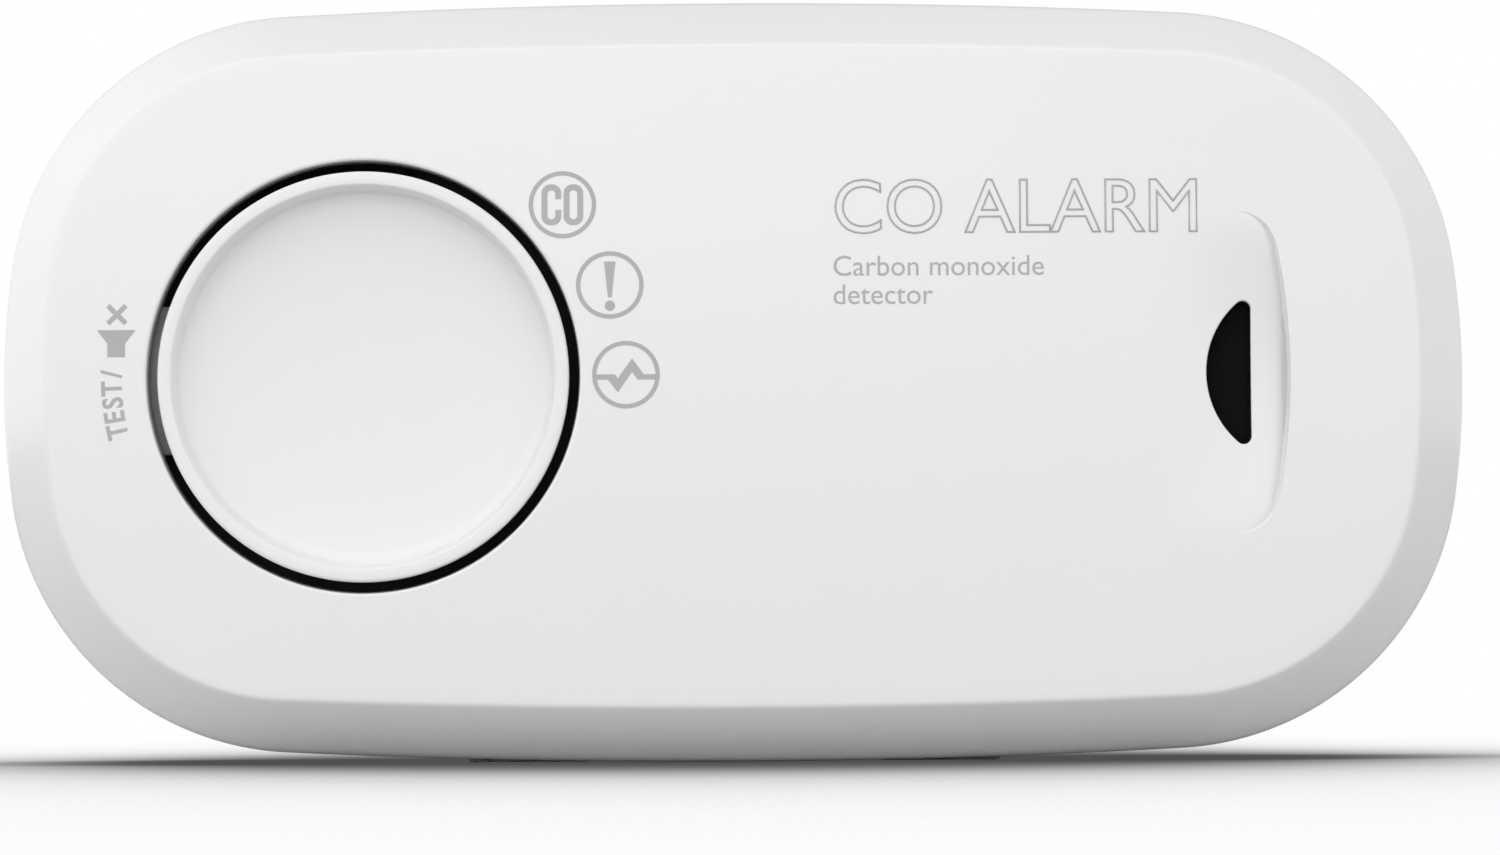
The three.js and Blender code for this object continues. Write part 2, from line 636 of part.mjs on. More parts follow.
// A square body with a round lens on it.
function lightChip(degrees) {
  const halfWidth = 1.6;
  const halfHeight = 1.4;
  const bodyTop = 3.9;
  const lensTop = 4.4;
  const [x, y] = atAngle(LIGHT_REACH, degrees);
  const body = block(x - halfWidth, x + halfWidth, y - halfHeight, y + halfHeight, ON_BOARD, bodyTop);
  return body.add(rod(1, bodyTop - 0.1, lensTop, x, y, 12));
}

// The cup that holds the sounder disc by its edge over an air space.
function sounderCup() {
  const rimInside = 13.9;
  const ledgeInside = 12.2;
  const ledge = BRASS_BACK - 0.1;
  const floor = 4.4;
  return turned(
    [
      [0, ON_BOARD],
      [SOUNDER_RADIUS, ON_BOARD],
      [SOUNDER_RADIUS, SOUNDER_CUP_TOP],
      [rimInside, SOUNDER_CUP_TOP],
      [rimInside, ledge],
      [ledgeInside, ledge],
      [ledgeInside, floor],
      [0, floor],
    ],
    BUTTON_X,
  );
}

function soundDisc(radius, back) {
  return rod(radius, back, back + DISC_THICK, BUTTON_X, 0, 32);
}

// The cap clamps the disc, lets the sound out at its middle and spreads into a collar under the button's gap.
function sounderCap() {
  const mouth = 2.5;
  const clampInside = 12.4;
  const clampOutside = 13.6;
  const clampFoot = BRASS_BACK + DISC_THICK + 0.25;
  const collarBack = 10.2;
  const cap = turned(
    [
      [mouth, SOUNDER_CAP_BACK],
      [clampInside, SOUNDER_CAP_BACK],
      [clampInside, clampFoot],
      [clampOutside, clampFoot],
      [clampOutside, SOUNDER_CAP_BACK],
      [SOUNDER_RADIUS, SOUNDER_CAP_BACK],
      [SOUNDER_RADIUS, collarBack],
      [COLLAR_RADIUS, collarBack],
      [COLLAR_RADIUS, SOUNDER_CAP_FRONT],
      [mouth, SOUNDER_CAP_FRONT],
      [mouth, SOUNDER_CAP_BACK],
    ],
    BUTTON_X,
    0,
    36,
  );
  const plungerHole = 3.6;
  const pipeHole = LIGHT_PIPE_RADIUS + 0.3;
  const [below, above] = [SOUNDER_CAP_BACK - 1, SOUNDER_CAP_FRONT + 1];
  let collar = cap.subtract(rod(plungerHole, below, above, SWITCH_X, SWITCH_Y, 16));
  for (const degrees of Object.values(LIGHT_ANGLES)) {
    const [x, y] = atAngle(LIGHT_REACH, degrees);
    collar = collar.subtract(rod(pipeHole, below, above, x, y, 16));
  }
  return collar;
}

// A flat black package centred at x, y.
function chip(x, y, width, height, thick) {
  return block(x - width / 2, x + width / 2, y - height / 2, y + height / 2, ON_BOARD, ON_BOARD + thick);
}

// A drum core, narrower in the middle where its wire is wound.
function boostInductor() {
  const [x, y] = [5, -12];
  const flange = 4;
  const waist = 2.8;
  const top = 8.6;
  const flangeThick = 1;
  return turned(
    [
      [0, ON_BOARD],
      [flange, ON_BOARD],
      [flange, ON_BOARD + flangeThick],
      [waist, ON_BOARD + flangeThick + 0.4],
      [waist, top - flangeThick - 0.4],
      [flange, top - flangeThick],
      [flange, top],
      [0, top],
    ],
    x,
    y,
    20,
  );
}

// A round can with a crimped groove near its foot.
function capacitor() {
  const [x, y] = [16, 12];
  const radius = 3.2;
  const groove = 0.3;
  const grooveLevel = 4.3;
  const top = 11.5;
  return turned(
    [
      [0, ON_BOARD],
      [radius, ON_BOARD],
      [radius, grooveLevel - groove],
      [radius - groove, grooveLevel],
      [radius, grooveLevel + groove],
      [radius, top - groove],
      [radius - groove, top],
      [0, top],
    ],
    x,
    y,
    20,
  );
}

// ---------------------------------------------------------------------------------------------------------------
// Sensor
// ---------------------------------------------------------------------------------------------------------------

function sensorCell() {
  return turned(
    [
      [0, ON_BOARD],
      [SENSOR_RADIUS - SENSOR_CHAMFER, ON_BOARD],
      [SENSOR_RADIUS, ON_BOARD + SENSOR_CHAMFER],
      [SENSOR_RADIUS, SENSOR_TOP - SENSOR_CHAMFER],
      [SENSOR_RADIUS - SENSOR_CHAMFER, SENSOR_TOP],
      [0, SENSOR_TOP],
    ],
    SENSOR_X,
  );
}

// A metal cap with a small hole that lets the air reach the cell.
function sensorCap() {
  const airHole = 1.3;
  return ring(SENSOR_RADIUS - 0.8, airHole, SENSOR_TOP + 0.2, GASKET_BACK - GAP, SENSOR_X);
}

function ventScreen() {
  const thick = 0.5;
  const back = GASKET_FRONT + 0.2;
  return rod(SENSOR_RADIUS - 1.2, back, back + thick, SENSOR_X, 0, 32);
}

function sensorGasket() {
  const inside = 7.6;
  return ring(SENSOR_RADIUS - 0.5, inside, GASKET_BACK, GASKET_FRONT, SENSOR_X);
}

// ---------------------------------------------------------------------------------------------------------------
// Batteries, contacts and door
// ---------------------------------------------------------------------------------------------------------------

// An AA cell lying along x; side 1 has its positive end on the right, and side -1 on the left.
function cell(side) {
  const tip = CELL_TIP_X;
  const tipRadius = 2.6;
  const shoulder = tip - 1;
  const edge = 0.5;
  const profile = [
    [0, tip - CELL_LENGTH],
    [CELL_RADIUS - edge, tip - CELL_LENGTH],
    [CELL_RADIUS, tip - CELL_LENGTH + edge],
    [CELL_RADIUS, shoulder - edge],
    [CELL_RADIUS - edge, shoulder],
    [tipRadius, shoulder],
    [tipRadius, tip],
    [0, tip],
  ].map(([radius, level]) => new THREE.Vector2(radius, level));
  const lathe = new THREE.LatheGeometry(profile, 24).rotateZ(-Math.PI / 2);
  if (side < 0) {
    lathe.rotateZ(Math.PI);
  }
  return solid(lathe.translate(0, side * CELL_Y, CELL_Z));
}

// A conical coil against the flat end of a cell, wound from its plate to the cell.
function contactSpring(side) {
  const turns = 3.5;
  const wireRadius = 0.4;
  const wide = 4.6;
  const narrow = 2.6;
  const start = PLATE_X - GAP - wireRadius - 0.05;
  const end = CELL_LENGTH - CELL_TIP_X + GAP + wireRadius + 0.1;
  class Coil extends THREE.Curve {
    getPoint(t, target = new THREE.Vector3()) {
      const angle = turns * 2 * Math.PI * t;
      const radius = THREE.MathUtils.lerp(wide, narrow, t);
      const x = THREE.MathUtils.lerp(start, end, t);
      return target.set(-side * x, side * CELL_Y + radius * Math.cos(angle), CELL_Z + radius * Math.sin(angle));
    }
  }
  const wire = new THREE.Shape().absarc(0, 0, wireRadius, 0, Math.PI * 2);
  const options = { steps: 36, extrudePath: new Coil(), curveSegments: 3, bevelEnabled: false };
  return solid(new THREE.ExtrudeGeometry(wire, options));
}

// A raised round spot on a plate where it meets a cell's positive tip.
function contactSpot(side) {
  const raised = 0.4;
  const x0 = side > 0 ? PLATE_X - raised : -PLATE_X - 0.1;
  return crossRod(SPOT_RADIUS, x0, x0 + raised + 0.1, side * CELL_Y, CELL_Z, 16);
}

// The left plate joins the two cells in series.
function bridgePlate() {
  const half = PLATE_HALF_WIDTH;
  const plate = block(-PLATE_X - PLATE_THICK, -PLATE_X, -half, half, PLATE_BACK, PLATE_FRONT);
  return plate.add(contactSpot(-1));
}

// A right-hand plate, with a tail through the bay floor to the circuit board.
function terminalPlate(side) {
  const tailHalf = 1.5;
  const tailFront = BOARD_FRONT + 1.4;
  const outer = PLATE_X + PLATE_THICK;
  const [low, high] = [side, side * PLATE_HALF_WIDTH].sort((a, b) => a - b);
  const middle = side * CELL_Y;
  const plate = block(PLATE_X, outer, low, high, PLATE_BACK, PLATE_FRONT);
  const tail = block(PLATE_X, outer, middle - tailHalf, middle + tailHalf, PLATE_FRONT - 1, tailFront);
  const joined = plate.add(tail);
  return side > 0 ? joined.add(contactSpot(1)) : joined;
}

function batteryDoor() {
  const inner = BACK + DOOR_THICK;
  const latchGap = LATCH_WIDTH / 2 + 0.4;
  const latchGapBottom = 15.9;
  const labelRecess = 0.25;
  const labelGap = 0.3;
  const pin = DOOR_X + HINGE_PIN_LENGTH;
  let door = block(-DOOR_X, DOOR_X, HINGE_Y, DOOR_TOP, BACK, inner);
  door = door.add(crossRod(DOOR_THICK, -DOOR_X, DOOR_X, HINGE_Y, HINGE_Z));
  door = door.add(crossRod(HINGE_PIN_RADIUS, -pin, pin, HINGE_Y, HINGE_Z, 16));
  door = door.subtract(block(-latchGap, latchGap, latchGapBottom, DOOR_TOP + 1, BACK - 1, inner + 1));
  const [across, up] = [LABEL_HALF_WIDTH + labelGap, LABEL_HALF_HEIGHT + labelGap];
  return door.subtract(block(-across, across, -up, up, BACK - 1, BACK + labelRecess));
}

// A springy U on the door's inside. Its outer leg carries the catch and ends in the thumb pad.
function doorLatch() {
  const inner = BACK + DOOR_THICK + GAP;
  const thick = 0.8;
  const innerLeg = 14.6;
  const outerLeg = 16.2;
  const turnBack = -12.9;
  const turnFront = -11.7;
  const catchReach = 0.6;
  const corner = 0.6;
  const profile = new THREE.Shape(
    [
      [innerLeg, inner],
      [innerLeg + thick, inner],
      [innerLeg + thick, turnBack],
      [innerLeg + thick + corner / 2, turnBack + 0.4],
      [outerLeg - corner / 2, turnBack + 0.4],
      [outerLeg, turnBack],
      [outerLeg, BACK],
      [outerLeg + thick, BACK],
      [outerLeg + thick, CATCH_BACK + 0.2],
      [outerLeg + thick + catchReach, CATCH_BACK + 0.2],
      [outerLeg + thick + catchReach, CATCH_BACK + 0.4],
      [outerLeg + thick, CATCH_FRONT - 0.3],
      [outerLeg + thick, turnFront - corner],
      [outerLeg + thick - corner, turnFront],
      [innerLeg + corner, turnFront],
      [innerLeg, turnFront - corner],
    ].map(([y, z]) => new THREE.Vector2(y, z)),
  );
  const options = { depth: LATCH_WIDTH, bevelEnabled: false };
  const bar = new THREE.ExtrudeGeometry(profile, options).translate(0, 0, -LATCH_WIDTH / 2);
  // The profile's own axes become y and z, and its thickness runs along x.
  bar.applyMatrix4(new THREE.Matrix4().set(0, 0, 1, 0, 1, 0, 0, 0, 0, 1, 0, 0, 0, 0, 0, 1));
  return solid(bar);
}

function ratingLabel() {
  const [across, up] = [LABEL_HALF_WIDTH, LABEL_HALF_HEIGHT];
  const outside = BACK + 0.02;
  return block(-across, across, -up, up, outside, outside + LABEL_THICK);
}

// ---------------------------------------------------------------------------------------------------------------
// Fasteners
// ---------------------------------------------------------------------------------------------------------------

// A pan-head screw along z: its head lies from seat towards headSide, and its shank runs the other way.
function screw(x, y, seat, headSide, { headRadius, headHeight, shankRadius, length }) {
  const slotHalf = 0.3;
  const at = (level) => seat + headSide * level;
  const profile = [
    [0, at(-length)],
    [shankRadius * 0.5, at(-length)],
    [shankRadius, at(-length + 1)],
    [shankRadius, at(0)],
    [headRadius, at(0)],
    [headRadius, at(headHeight * 0.5)],
    [headRadius * 0.75, at(headHeight)],
    [0, at(headHeight)],
  ];
  const body = turned(headSide > 0 ? profile : profile.reverse(), x, y, 16);
  const slots = [at(headHeight * 0.4), at(headHeight + 1)].sort((a, b) => a - b);
  const half = headRadius * 0.55;
  const across = block(x - half, x + half, y - slotHalf, y + slotHalf, ...slots);
  const down = block(x - slotHalf, x + slotHalf, y - half, y + half, ...slots);
  return body.subtract(across).subtract(down);
}

// ---------------------------------------------------------------------------------------------------------------
// Assembly
// ---------------------------------------------------------------------------------------------------------------

const detector = new THREE.Group();

detector.add(piece("front_cover", frontCover(), whitePlastic));
detector.add(piece("rear_housing", rearHousing(), rearPlastic));
detector.add(piece("test_button", testButton(), buttonPlastic));
detector.add(piece("switch_body", switchBody(), blackPlastic));
detector.add(piece("switch_plunger", switchPlunger(), blackPlastic));

detector.add(piece("circuit_board", circuitBoard(), boardGreen));
detector.add(piece("light_guide", lightGuide(), clearPlastic));
detector.add(piece("alarm_led", lightChip(LIGHT_ANGLES.red), redLens));
detector.add(piece("fault_led", lightChip(LIGHT_ANGLES.amber), amberLens));
detector.add(piece("power_led", lightChip(LIGHT_ANGLES.green), greenLens));
detector.add(piece("sounder_cup", sounderCup(), blackPlastic));
detector.add(piece("sounder_cap", sounderCap(), blackPlastic));
detector.add(piece("sounder_brass_disc", soundDisc(BRASS_RADIUS, BRASS_BACK), brass));
detector.add(piece("sounder_ceramic_disc", soundDisc(CERAMIC_RADIUS, CERAMIC_BACK), ceramic));
detector.add(piece("microcontroller", chip(8.5, 2.5, 9, 9, 1.25), chipBlack));
detector.add(piece("amplifier_chip", chip(23, -9.75, 6, 4.5, 1.45), chipBlack));
detector.add(piece("boost_inductor", boostInductor(), chipBlack));
detector.add(piece("capacitor", capacitor(), steel));

detector.add(piece("vent_screen", ventScreen(), screenCloth));
detector.add(piece("sensor_gasket", sensorGasket(), foam));
detector.add(piece("sensor_cap", sensorCap(), steel));
detector.add(piece("sensor_cell", sensorCell(), blackPlastic));

detector.add(piece("battery_upper", cell(1), cellSleeve));
detector.add(piece("battery_lower", cell(-1), cellSleeve));
detector.add(piece("contact_spring_upper", contactSpring(1), steel));
detector.add(piece("contact_spring_lower", contactSpring(-1), steel));
detector.add(piece("contact_bridge", bridgePlate(), steel));
detector.add(piece("positive_terminal", terminalPlate(1), steel));
detector.add(piece("negative_terminal", terminalPlate(-1), steel));
detector.add(piece("battery_door", batteryDoor(), rearPlastic));
detector.add(piece("door_latch", doorLatch(), rearPlastic));
detector.add(piece("rating_label", ratingLabel(), labelFilm));

caseScrewPlaces().forEach(([x, y], i) => {
  const body = screw(x, y, CASE_SCREW_SEAT - GAP, -1, CASE_SCREW);
  detector.add(piece(`case_screw_${i + 1}`, body, steel));
});
BOARD_SCREWS.forEach(([x, y], i) => {
  const body = screw(x, y, ON_BOARD, 1, BOARD_SCREW);
  detector.add(piece(`board_screw_${i + 1}`, body, steel));
});

detector.rotation.x = Math.PI / 2;
detector.position.z = HEIGHT / 2;

const model = new THREE.Group();
model.add(detector);

export default model;
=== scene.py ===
"""A battery carbon monoxide detector: white two-part case, round test button, sensor vent and battery bay."""

import math

import bmesh
import bpy
import numpy as np
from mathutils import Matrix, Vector
from mathutils.geometry import delaunay_2d_cdt


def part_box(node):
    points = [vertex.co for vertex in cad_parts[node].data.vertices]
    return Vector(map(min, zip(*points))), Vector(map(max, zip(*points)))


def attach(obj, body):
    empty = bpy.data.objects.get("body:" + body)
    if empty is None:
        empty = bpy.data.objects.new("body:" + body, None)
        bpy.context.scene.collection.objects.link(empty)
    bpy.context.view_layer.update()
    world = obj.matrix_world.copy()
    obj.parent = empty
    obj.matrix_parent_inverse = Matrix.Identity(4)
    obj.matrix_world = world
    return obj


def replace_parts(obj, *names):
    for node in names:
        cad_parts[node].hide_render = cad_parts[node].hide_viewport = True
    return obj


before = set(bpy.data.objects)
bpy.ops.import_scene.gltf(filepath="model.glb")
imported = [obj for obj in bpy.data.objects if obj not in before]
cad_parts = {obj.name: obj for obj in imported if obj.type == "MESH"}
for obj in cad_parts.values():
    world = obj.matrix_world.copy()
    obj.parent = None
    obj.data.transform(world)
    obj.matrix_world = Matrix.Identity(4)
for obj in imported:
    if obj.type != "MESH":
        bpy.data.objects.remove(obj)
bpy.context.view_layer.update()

# ------------------------------------------------------------------------------
# Front cover
# One injection moulding in glossy white ABS: a crowned face, a steep bevel all round, a round hole for
# the button, and a shallow scoop with a half-moon vent in it. Four screws from the back hold it to the
# rear housing.
# ------------------------------------------------------------------------------

# Meshes are worked out in millimetres about the middle of the case: x to the right, y to the back, z up.
MM = 0.001
cover_low, cover_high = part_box("front_cover")
MIDDLE = Vector((0, 0, (cover_low[2] + cover_high[2]) / 2))
HALF_WIDTH = (cover_high[0] - cover_low[0]) / 2 / MM
HALF_HEIGHT = (cover_high[2] - cover_low[2]) / 2 / MM
FACE = cover_low[1] / MM

LONG_RADIUS = 730.0
SIDE_RADIUS = 70.0
CORNER_RADIUS = 24.0
CROWN_X = 4400.0
CROWN_Z = 1000.0
BEVEL = 4.9
BEVEL_DEPTH = 8.5
BEVEL_BULGE = 0.14
CREASE = 0.14
FOOT_RADIUS = 4.0
PARTING = FACE + 13.0
COVER_WALL = 2.0

BUTTON_X = -29.8
HOLE_RADIUS = 17.5
HOLE_EDGE = 0.25
HOLE_DRAFT = 0.18

VENT_LEFT = 38.2
VENT_RIGHT = 41.85
VENT_RADIUS = 7.45
VENT_CORNER = 0.65
VENT_EDGE = 0.16
SCOOP_RIGHT = 44.95
SCOOP_HALF_HEIGHT = 12.95
SCOOP_LENGTH = 12.0
SCOOP_DEPTH = 1.35
SCOOP_WALL = 0.3
SCOOP_GROOVE = 0.95
GROOVE_WIDTH = 0.42
SCOOP_BOW = 0.0094
SCOOP_HOOK = 1.9

# How far inside the outline the cover's rings of points lie, from the face down to the bevel's foot.
BORDER = BEVEL + 2.3
COVER_RINGS = [BORDER, 6.6, 6.0, 5.6, 5.3, 5.1, 4.95, 4.85, 4.75, 4.65, 4.55, 4.45, 4.35, 4.25, 4.15, 4.0]
COVER_RINGS += [3.8, 3.5, 3.1, 2.6, 2.0, 1.5, 1.0, 0.75]
# How far inside the scoop's steep side its rows of points lie.
SCOOP_ROWS = [-0.25, -0.08, -0.02, 0.01, 0.04, 0.08, 0.12, 0.16, 0.2, 0.25, 0.3, 0.36, 0.43, 0.52, 0.66, 0.8]
SCOOP_ROWS += [1.0, 1.3]
POINT_SPACING = 0.85

COVER_COLOUR = (0.82, 0.82, 0.815)


def put(name, data):
    """A new object in the scene."""
    made = bpy.data.objects.new(name, data)
    bpy.context.scene.collection.objects.link(made)
    return made


class Moulding:
    """Rings of points joined by walls and sheets, for a shell that is built up like a moulding."""

    def __init__(self):
        self.points = []
        self.faces = []
        self.true_normals = {}

    def ring(self, points):
        start = len(self.points)
        self.points.extend(tuple(p) for p in points)
        return list(range(start, len(self.points)))

    def wall(self, first, second):
        """Joins two rings of equal length with one band of faces."""
        for i, a in enumerate(first):
            j = (i + 1) % len(first)
            self.faces.append((a, first[j], second[j], second[i]))

    def walls(self, rings):
        for first, second in zip(rings, rings[1:]):
            self.wall(first, second)

    def cap(self, ring):
        """Closes a convex ring with a fan about its middle."""
        middle = np.mean([self.points[i] for i in ring], axis=0)
        (centre,) = self.ring([middle])
        for i, a in enumerate(ring):
            self.faces.append((a, ring[(i + 1) % len(ring)], centre))

    def sheet(self, outer, holes, loose, rows, depth):
        """Fills the plan between rings with triangles, through loose points and along rows of points."""
        loops = [outer, *holes]
        plan = [Vector((self.points[i][0], self.points[i][2])) for loop in loops for i in loop]
        known = [i for loop in loops for i in loop]
        edges = []
        start = 0
        for loop in loops:
            count = len(loop)
            edges += [(start + i, start + (i + 1) % count) for i in range(count)]
            start += count
        fresh = []
        for row in rows:
            first = len(plan) + len(fresh)
            edges += [(first + i, first + i + 1) for i in range(len(row) - 1)]
            fresh += row
        fresh += loose
        added = self.ring([(x, depth(x, z), z) for x, z in fresh])
        known += added
        plan += [Vector(p) for p in fresh]
        made, _, triangles, sources, _, _ = delaunay_2d_cdt(plan, edges, [], 0, 1e-6, True)
        lookup = [known[ids[0]] for ids in sources]
        inside = [polygon([self.points[i] for i in hole]) for hole in holes]
        for triangle in triangles:
            middle = sum((made[i] for i in triangle), Vector((0, 0))) / 3
            if not any(holds(hole, middle) for hole in inside):
                self.faces.append(tuple(lookup[i] for i in triangle))
        return added

    def mesh(self, name):
        mesh = bpy.data.meshes.new(name)
        place = [Vector(p) * MM + MIDDLE for p in self.points]
        mesh.from_pydata(place, [], self.faces)
        work = bmesh.new()
        work.from_mesh(mesh)
        bmesh.ops.recalc_face_normals(work, faces=work.faces)
        work.to_mesh(mesh)
        work.free()
        return mesh

    def piece(self, name, body):
        mesh = self.mesh(name)
        mesh.shade_smooth()
        if self.true_normals:
            normals = [v.normal.copy() for v in mesh.vertices]
            for i, normal in self.true_normals.items():
                normals[i] = normal
            mesh.normals_split_custom_set_from_vertices(normals)
        shown = put(name, mesh)
        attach(shown, body)
        return shown


def polygon(points):
    return np.array([(p[0], p[2]) for p in points])


def holds(corners, point):
    """True if the point lies inside the polygon."""
    x, z = corners[:, 0], corners[:, 1]
    next_x, next_z = np.roll(x, -1), np.roll(z, -1)
    spans = (z > point[1]) != (next_z > point[1])
    run = np.where(spans, next_z - z, 1.0)
    crossing = x + (point[1] - z) / run * (next_x - x)
    return bool(np.count_nonzero(spans & (crossing > point[0])) % 2)


def corner_centre():
    """The middle of the corner arc that touches both the long and the side arcs."""
    long_centre = np.array([0.0, HALF_HEIGHT - LONG_RADIUS])
    side_centre = np.array([HALF_WIDTH - SIDE_RADIUS, 0.0])
    to_long = LONG_RADIUS - CORNER_RADIUS
    to_side = SIDE_RADIUS - CORNER_RADIUS
    between = side_centre - long_centre
    length = np.linalg.norm(between)
    along = (to_long**2 - to_side**2 + length**2) / (2 * length)
    across = math.sqrt(to_long**2 - along**2)
    between = between / length
    return long_centre + between * along + np.array([between[1], -between[0]]) * across


CORNER = corner_centre()
SHALLOW = math.atan2(CORNER[1], CORNER[0] - (HALF_WIDTH - SIDE_RADIUS))
STEEP = math.atan2(CORNER[1] - (HALF_HEIGHT - LONG_RADIUS), CORNER[0])


def outline_arcs():
    """Centre, radius, first and last direction, and number of steps of each arc of the case's outline."""
    side, top = HALF_WIDTH - SIDE_RADIUS, HALF_HEIGHT - LONG_RADIUS
    x, z = CORNER
    turn = math.pi
    return [
        ((side, 0), SIDE_RADIUS, -SHALLOW, SHALLOW, 24),
        ((x, z), CORNER_RADIUS, SHALLOW, STEEP, 44),
        ((0, top), LONG_RADIUS, STEEP, turn - STEEP, 84),
        ((-x, z), CORNER_RADIUS, turn - STEEP, turn - SHALLOW, 44),
        ((-side, 0), SIDE_RADIUS, turn - SHALLOW, turn + SHALLOW, 24),
        ((-x, -z), CORNER_RADIUS, turn + SHALLOW, turn + STEEP, 44),
        ((0, -top), LONG_RADIUS, turn + STEEP, 2 * turn - STEEP, 84),
        ((x, -z), CORNER_RADIUS, 2 * turn - STEEP, 2 * turn - SHALLOW, 44),
    ]


def arc(centre, radius, start, end, steps, closed=False):
    """Plan points along an arc. The last one is left to the next arc unless this one is closed."""
    turns = [start + (end - start) * i / steps for i in range(steps + closed)]
    return [(centre[0] + radius * math.cos(a), centre[1] + radius * math.sin(a)) for a in turns]


def circle(radius, count, x=0.0, z=0.0):
    return arc((x, z), radius, 0, 2 * math.pi, count)


def outline(inset):
    """Plan points of the case's outline, moved inwards."""
    points = []
    for centre, radius, start, end, steps in outline_arcs():
        points += arc(centre, radius - inset, start, end, steps)
    return points


def edge_distance(x, z):
    """How far a point lies inside the case's outline."""
    x, z = abs(x), abs(z)
    side, top = HALF_WIDTH - SIDE_RADIUS, HALF_HEIGHT - LONG_RADIUS
    if math.atan2(z, x - side) < SHALLOW:
        return SIDE_RADIUS - math.hypot(x - side, z)
    if math.atan2(z - top, x) > STEEP:
        return LONG_RADIUS - math.hypot(x, z - top)
    return CORNER_RADIUS - math.hypot(x - CORNER[0], z - CORNER[1])


def scoop_edge(z):
    """Where the steep right side of the scoop lies at a height."""
    return SCOOP_RIGHT - SCOOP_BOW * z**2 - SCOOP_HOOK * (z / SCOOP_HALF_HEIGHT) ** 16


def smooth_step(t):
    t = min(max(t, 0.0), 1.0)
    return t * t * (3 - 2 * t)


def scoop_depth(x, z):
    tall = max(1 - (z / SCOOP_HALF_HEIGHT) ** 2, 0.0) ** 1.7
    inside = scoop_edge(z) - x
    if tall <= 0 or inside <= 0 or inside >= SCOOP_LENGTH:
        return 0.0
    steep = 1 - (1 - min(inside / SCOOP_WALL, 1.0)) ** 2.4
    slope = smooth_step(1 - inside / SCOOP_LENGTH)
    groove = SCOOP_GROOVE * math.exp(-inside / GROOVE_WIDTH) * max(1 - (z / SCOOP_HALF_HEIGHT) ** 8, 0.0)
    return steep * (SCOOP_DEPTH * tall * slope + groove)


def cover_depth(x, z):
    """The cover's outer surface: the deeper of the crowned face and the bevel, with a soft crease between."""
    crown = x * x / CROWN_X + z * z / CROWN_Z
    t = edge_distance(x, z) / BEVEL
    bevel = BEVEL_DEPTH * (1 - t) - BEVEL_BULGE * 4 * t * max(1 - t, 0.0)
    soft = math.hypot((crown - bevel) / 2, CREASE)
    return FACE + (crown + bevel) / 2 + soft + scoop_depth(x, z)


def cover_normal(x, z):
    step = 0.01
    slope_x = (cover_depth(x + step, z) - cover_depth(x - step, z)) / (2 * step)
    slope_z = (cover_depth(x, z + step) - cover_depth(x, z - step)) / (2 * step)
    return Vector((slope_x, -1, slope_z)).normalized()


def vent_outline(grow):
    """The half-moon vent: an arc on the left, a straight right side, and rounded corners."""
    centre = VENT_LEFT + VENT_RADIUS
    corner_x = VENT_RIGHT - VENT_CORNER
    corner_z = math.sqrt((VENT_RADIUS - VENT_CORNER) ** 2 - (corner_x - centre) ** 2)
    meet = math.atan2(corner_z, corner_x - centre)
    turn = 2 * math.pi
    points = arc((corner_x, corner_z), VENT_CORNER + grow, 0, meet, 10)
    points += arc((centre, 0), VENT_RADIUS + grow, meet, turn - meet, 44)
    points += arc((corner_x, -corner_z), VENT_CORNER + grow, turn - meet, turn, 10)
    return points + [(VENT_RIGHT + grow, corner_z * (i / 12 - 1)) for i in range(24)]


def grid(spacing, keep):
    """Plan points in staggered rows over the whole face, where keep allows."""
    points = []
    rows = int(2 * HALF_HEIGHT / spacing)
    columns = int(2 * HALF_WIDTH / spacing)
    for j in range(rows + 1):
        z = (j - rows / 2) * spacing
        for i in range(columns + 1):
            x = (i - columns / 2 + 0.5 * (j % 2)) * spacing
            if keep(x, z):
                points.append((x, z))
    return points


def rounded_edge(shell, plan, radius, steps, surface):
    """Rings that turn a hole's edge from the surface into its wall. The first is the surface's own border."""
    rings = []
    for i in range(steps + 1):
        angle = math.pi / 2 * i / steps
        drop = radius * (1 - math.cos(angle))
        points = plan(radius * (1 - math.sin(angle)))
        rings.append(shell.ring([(x, surface(x, z) + drop, z) for x, z in points]))
    return rings


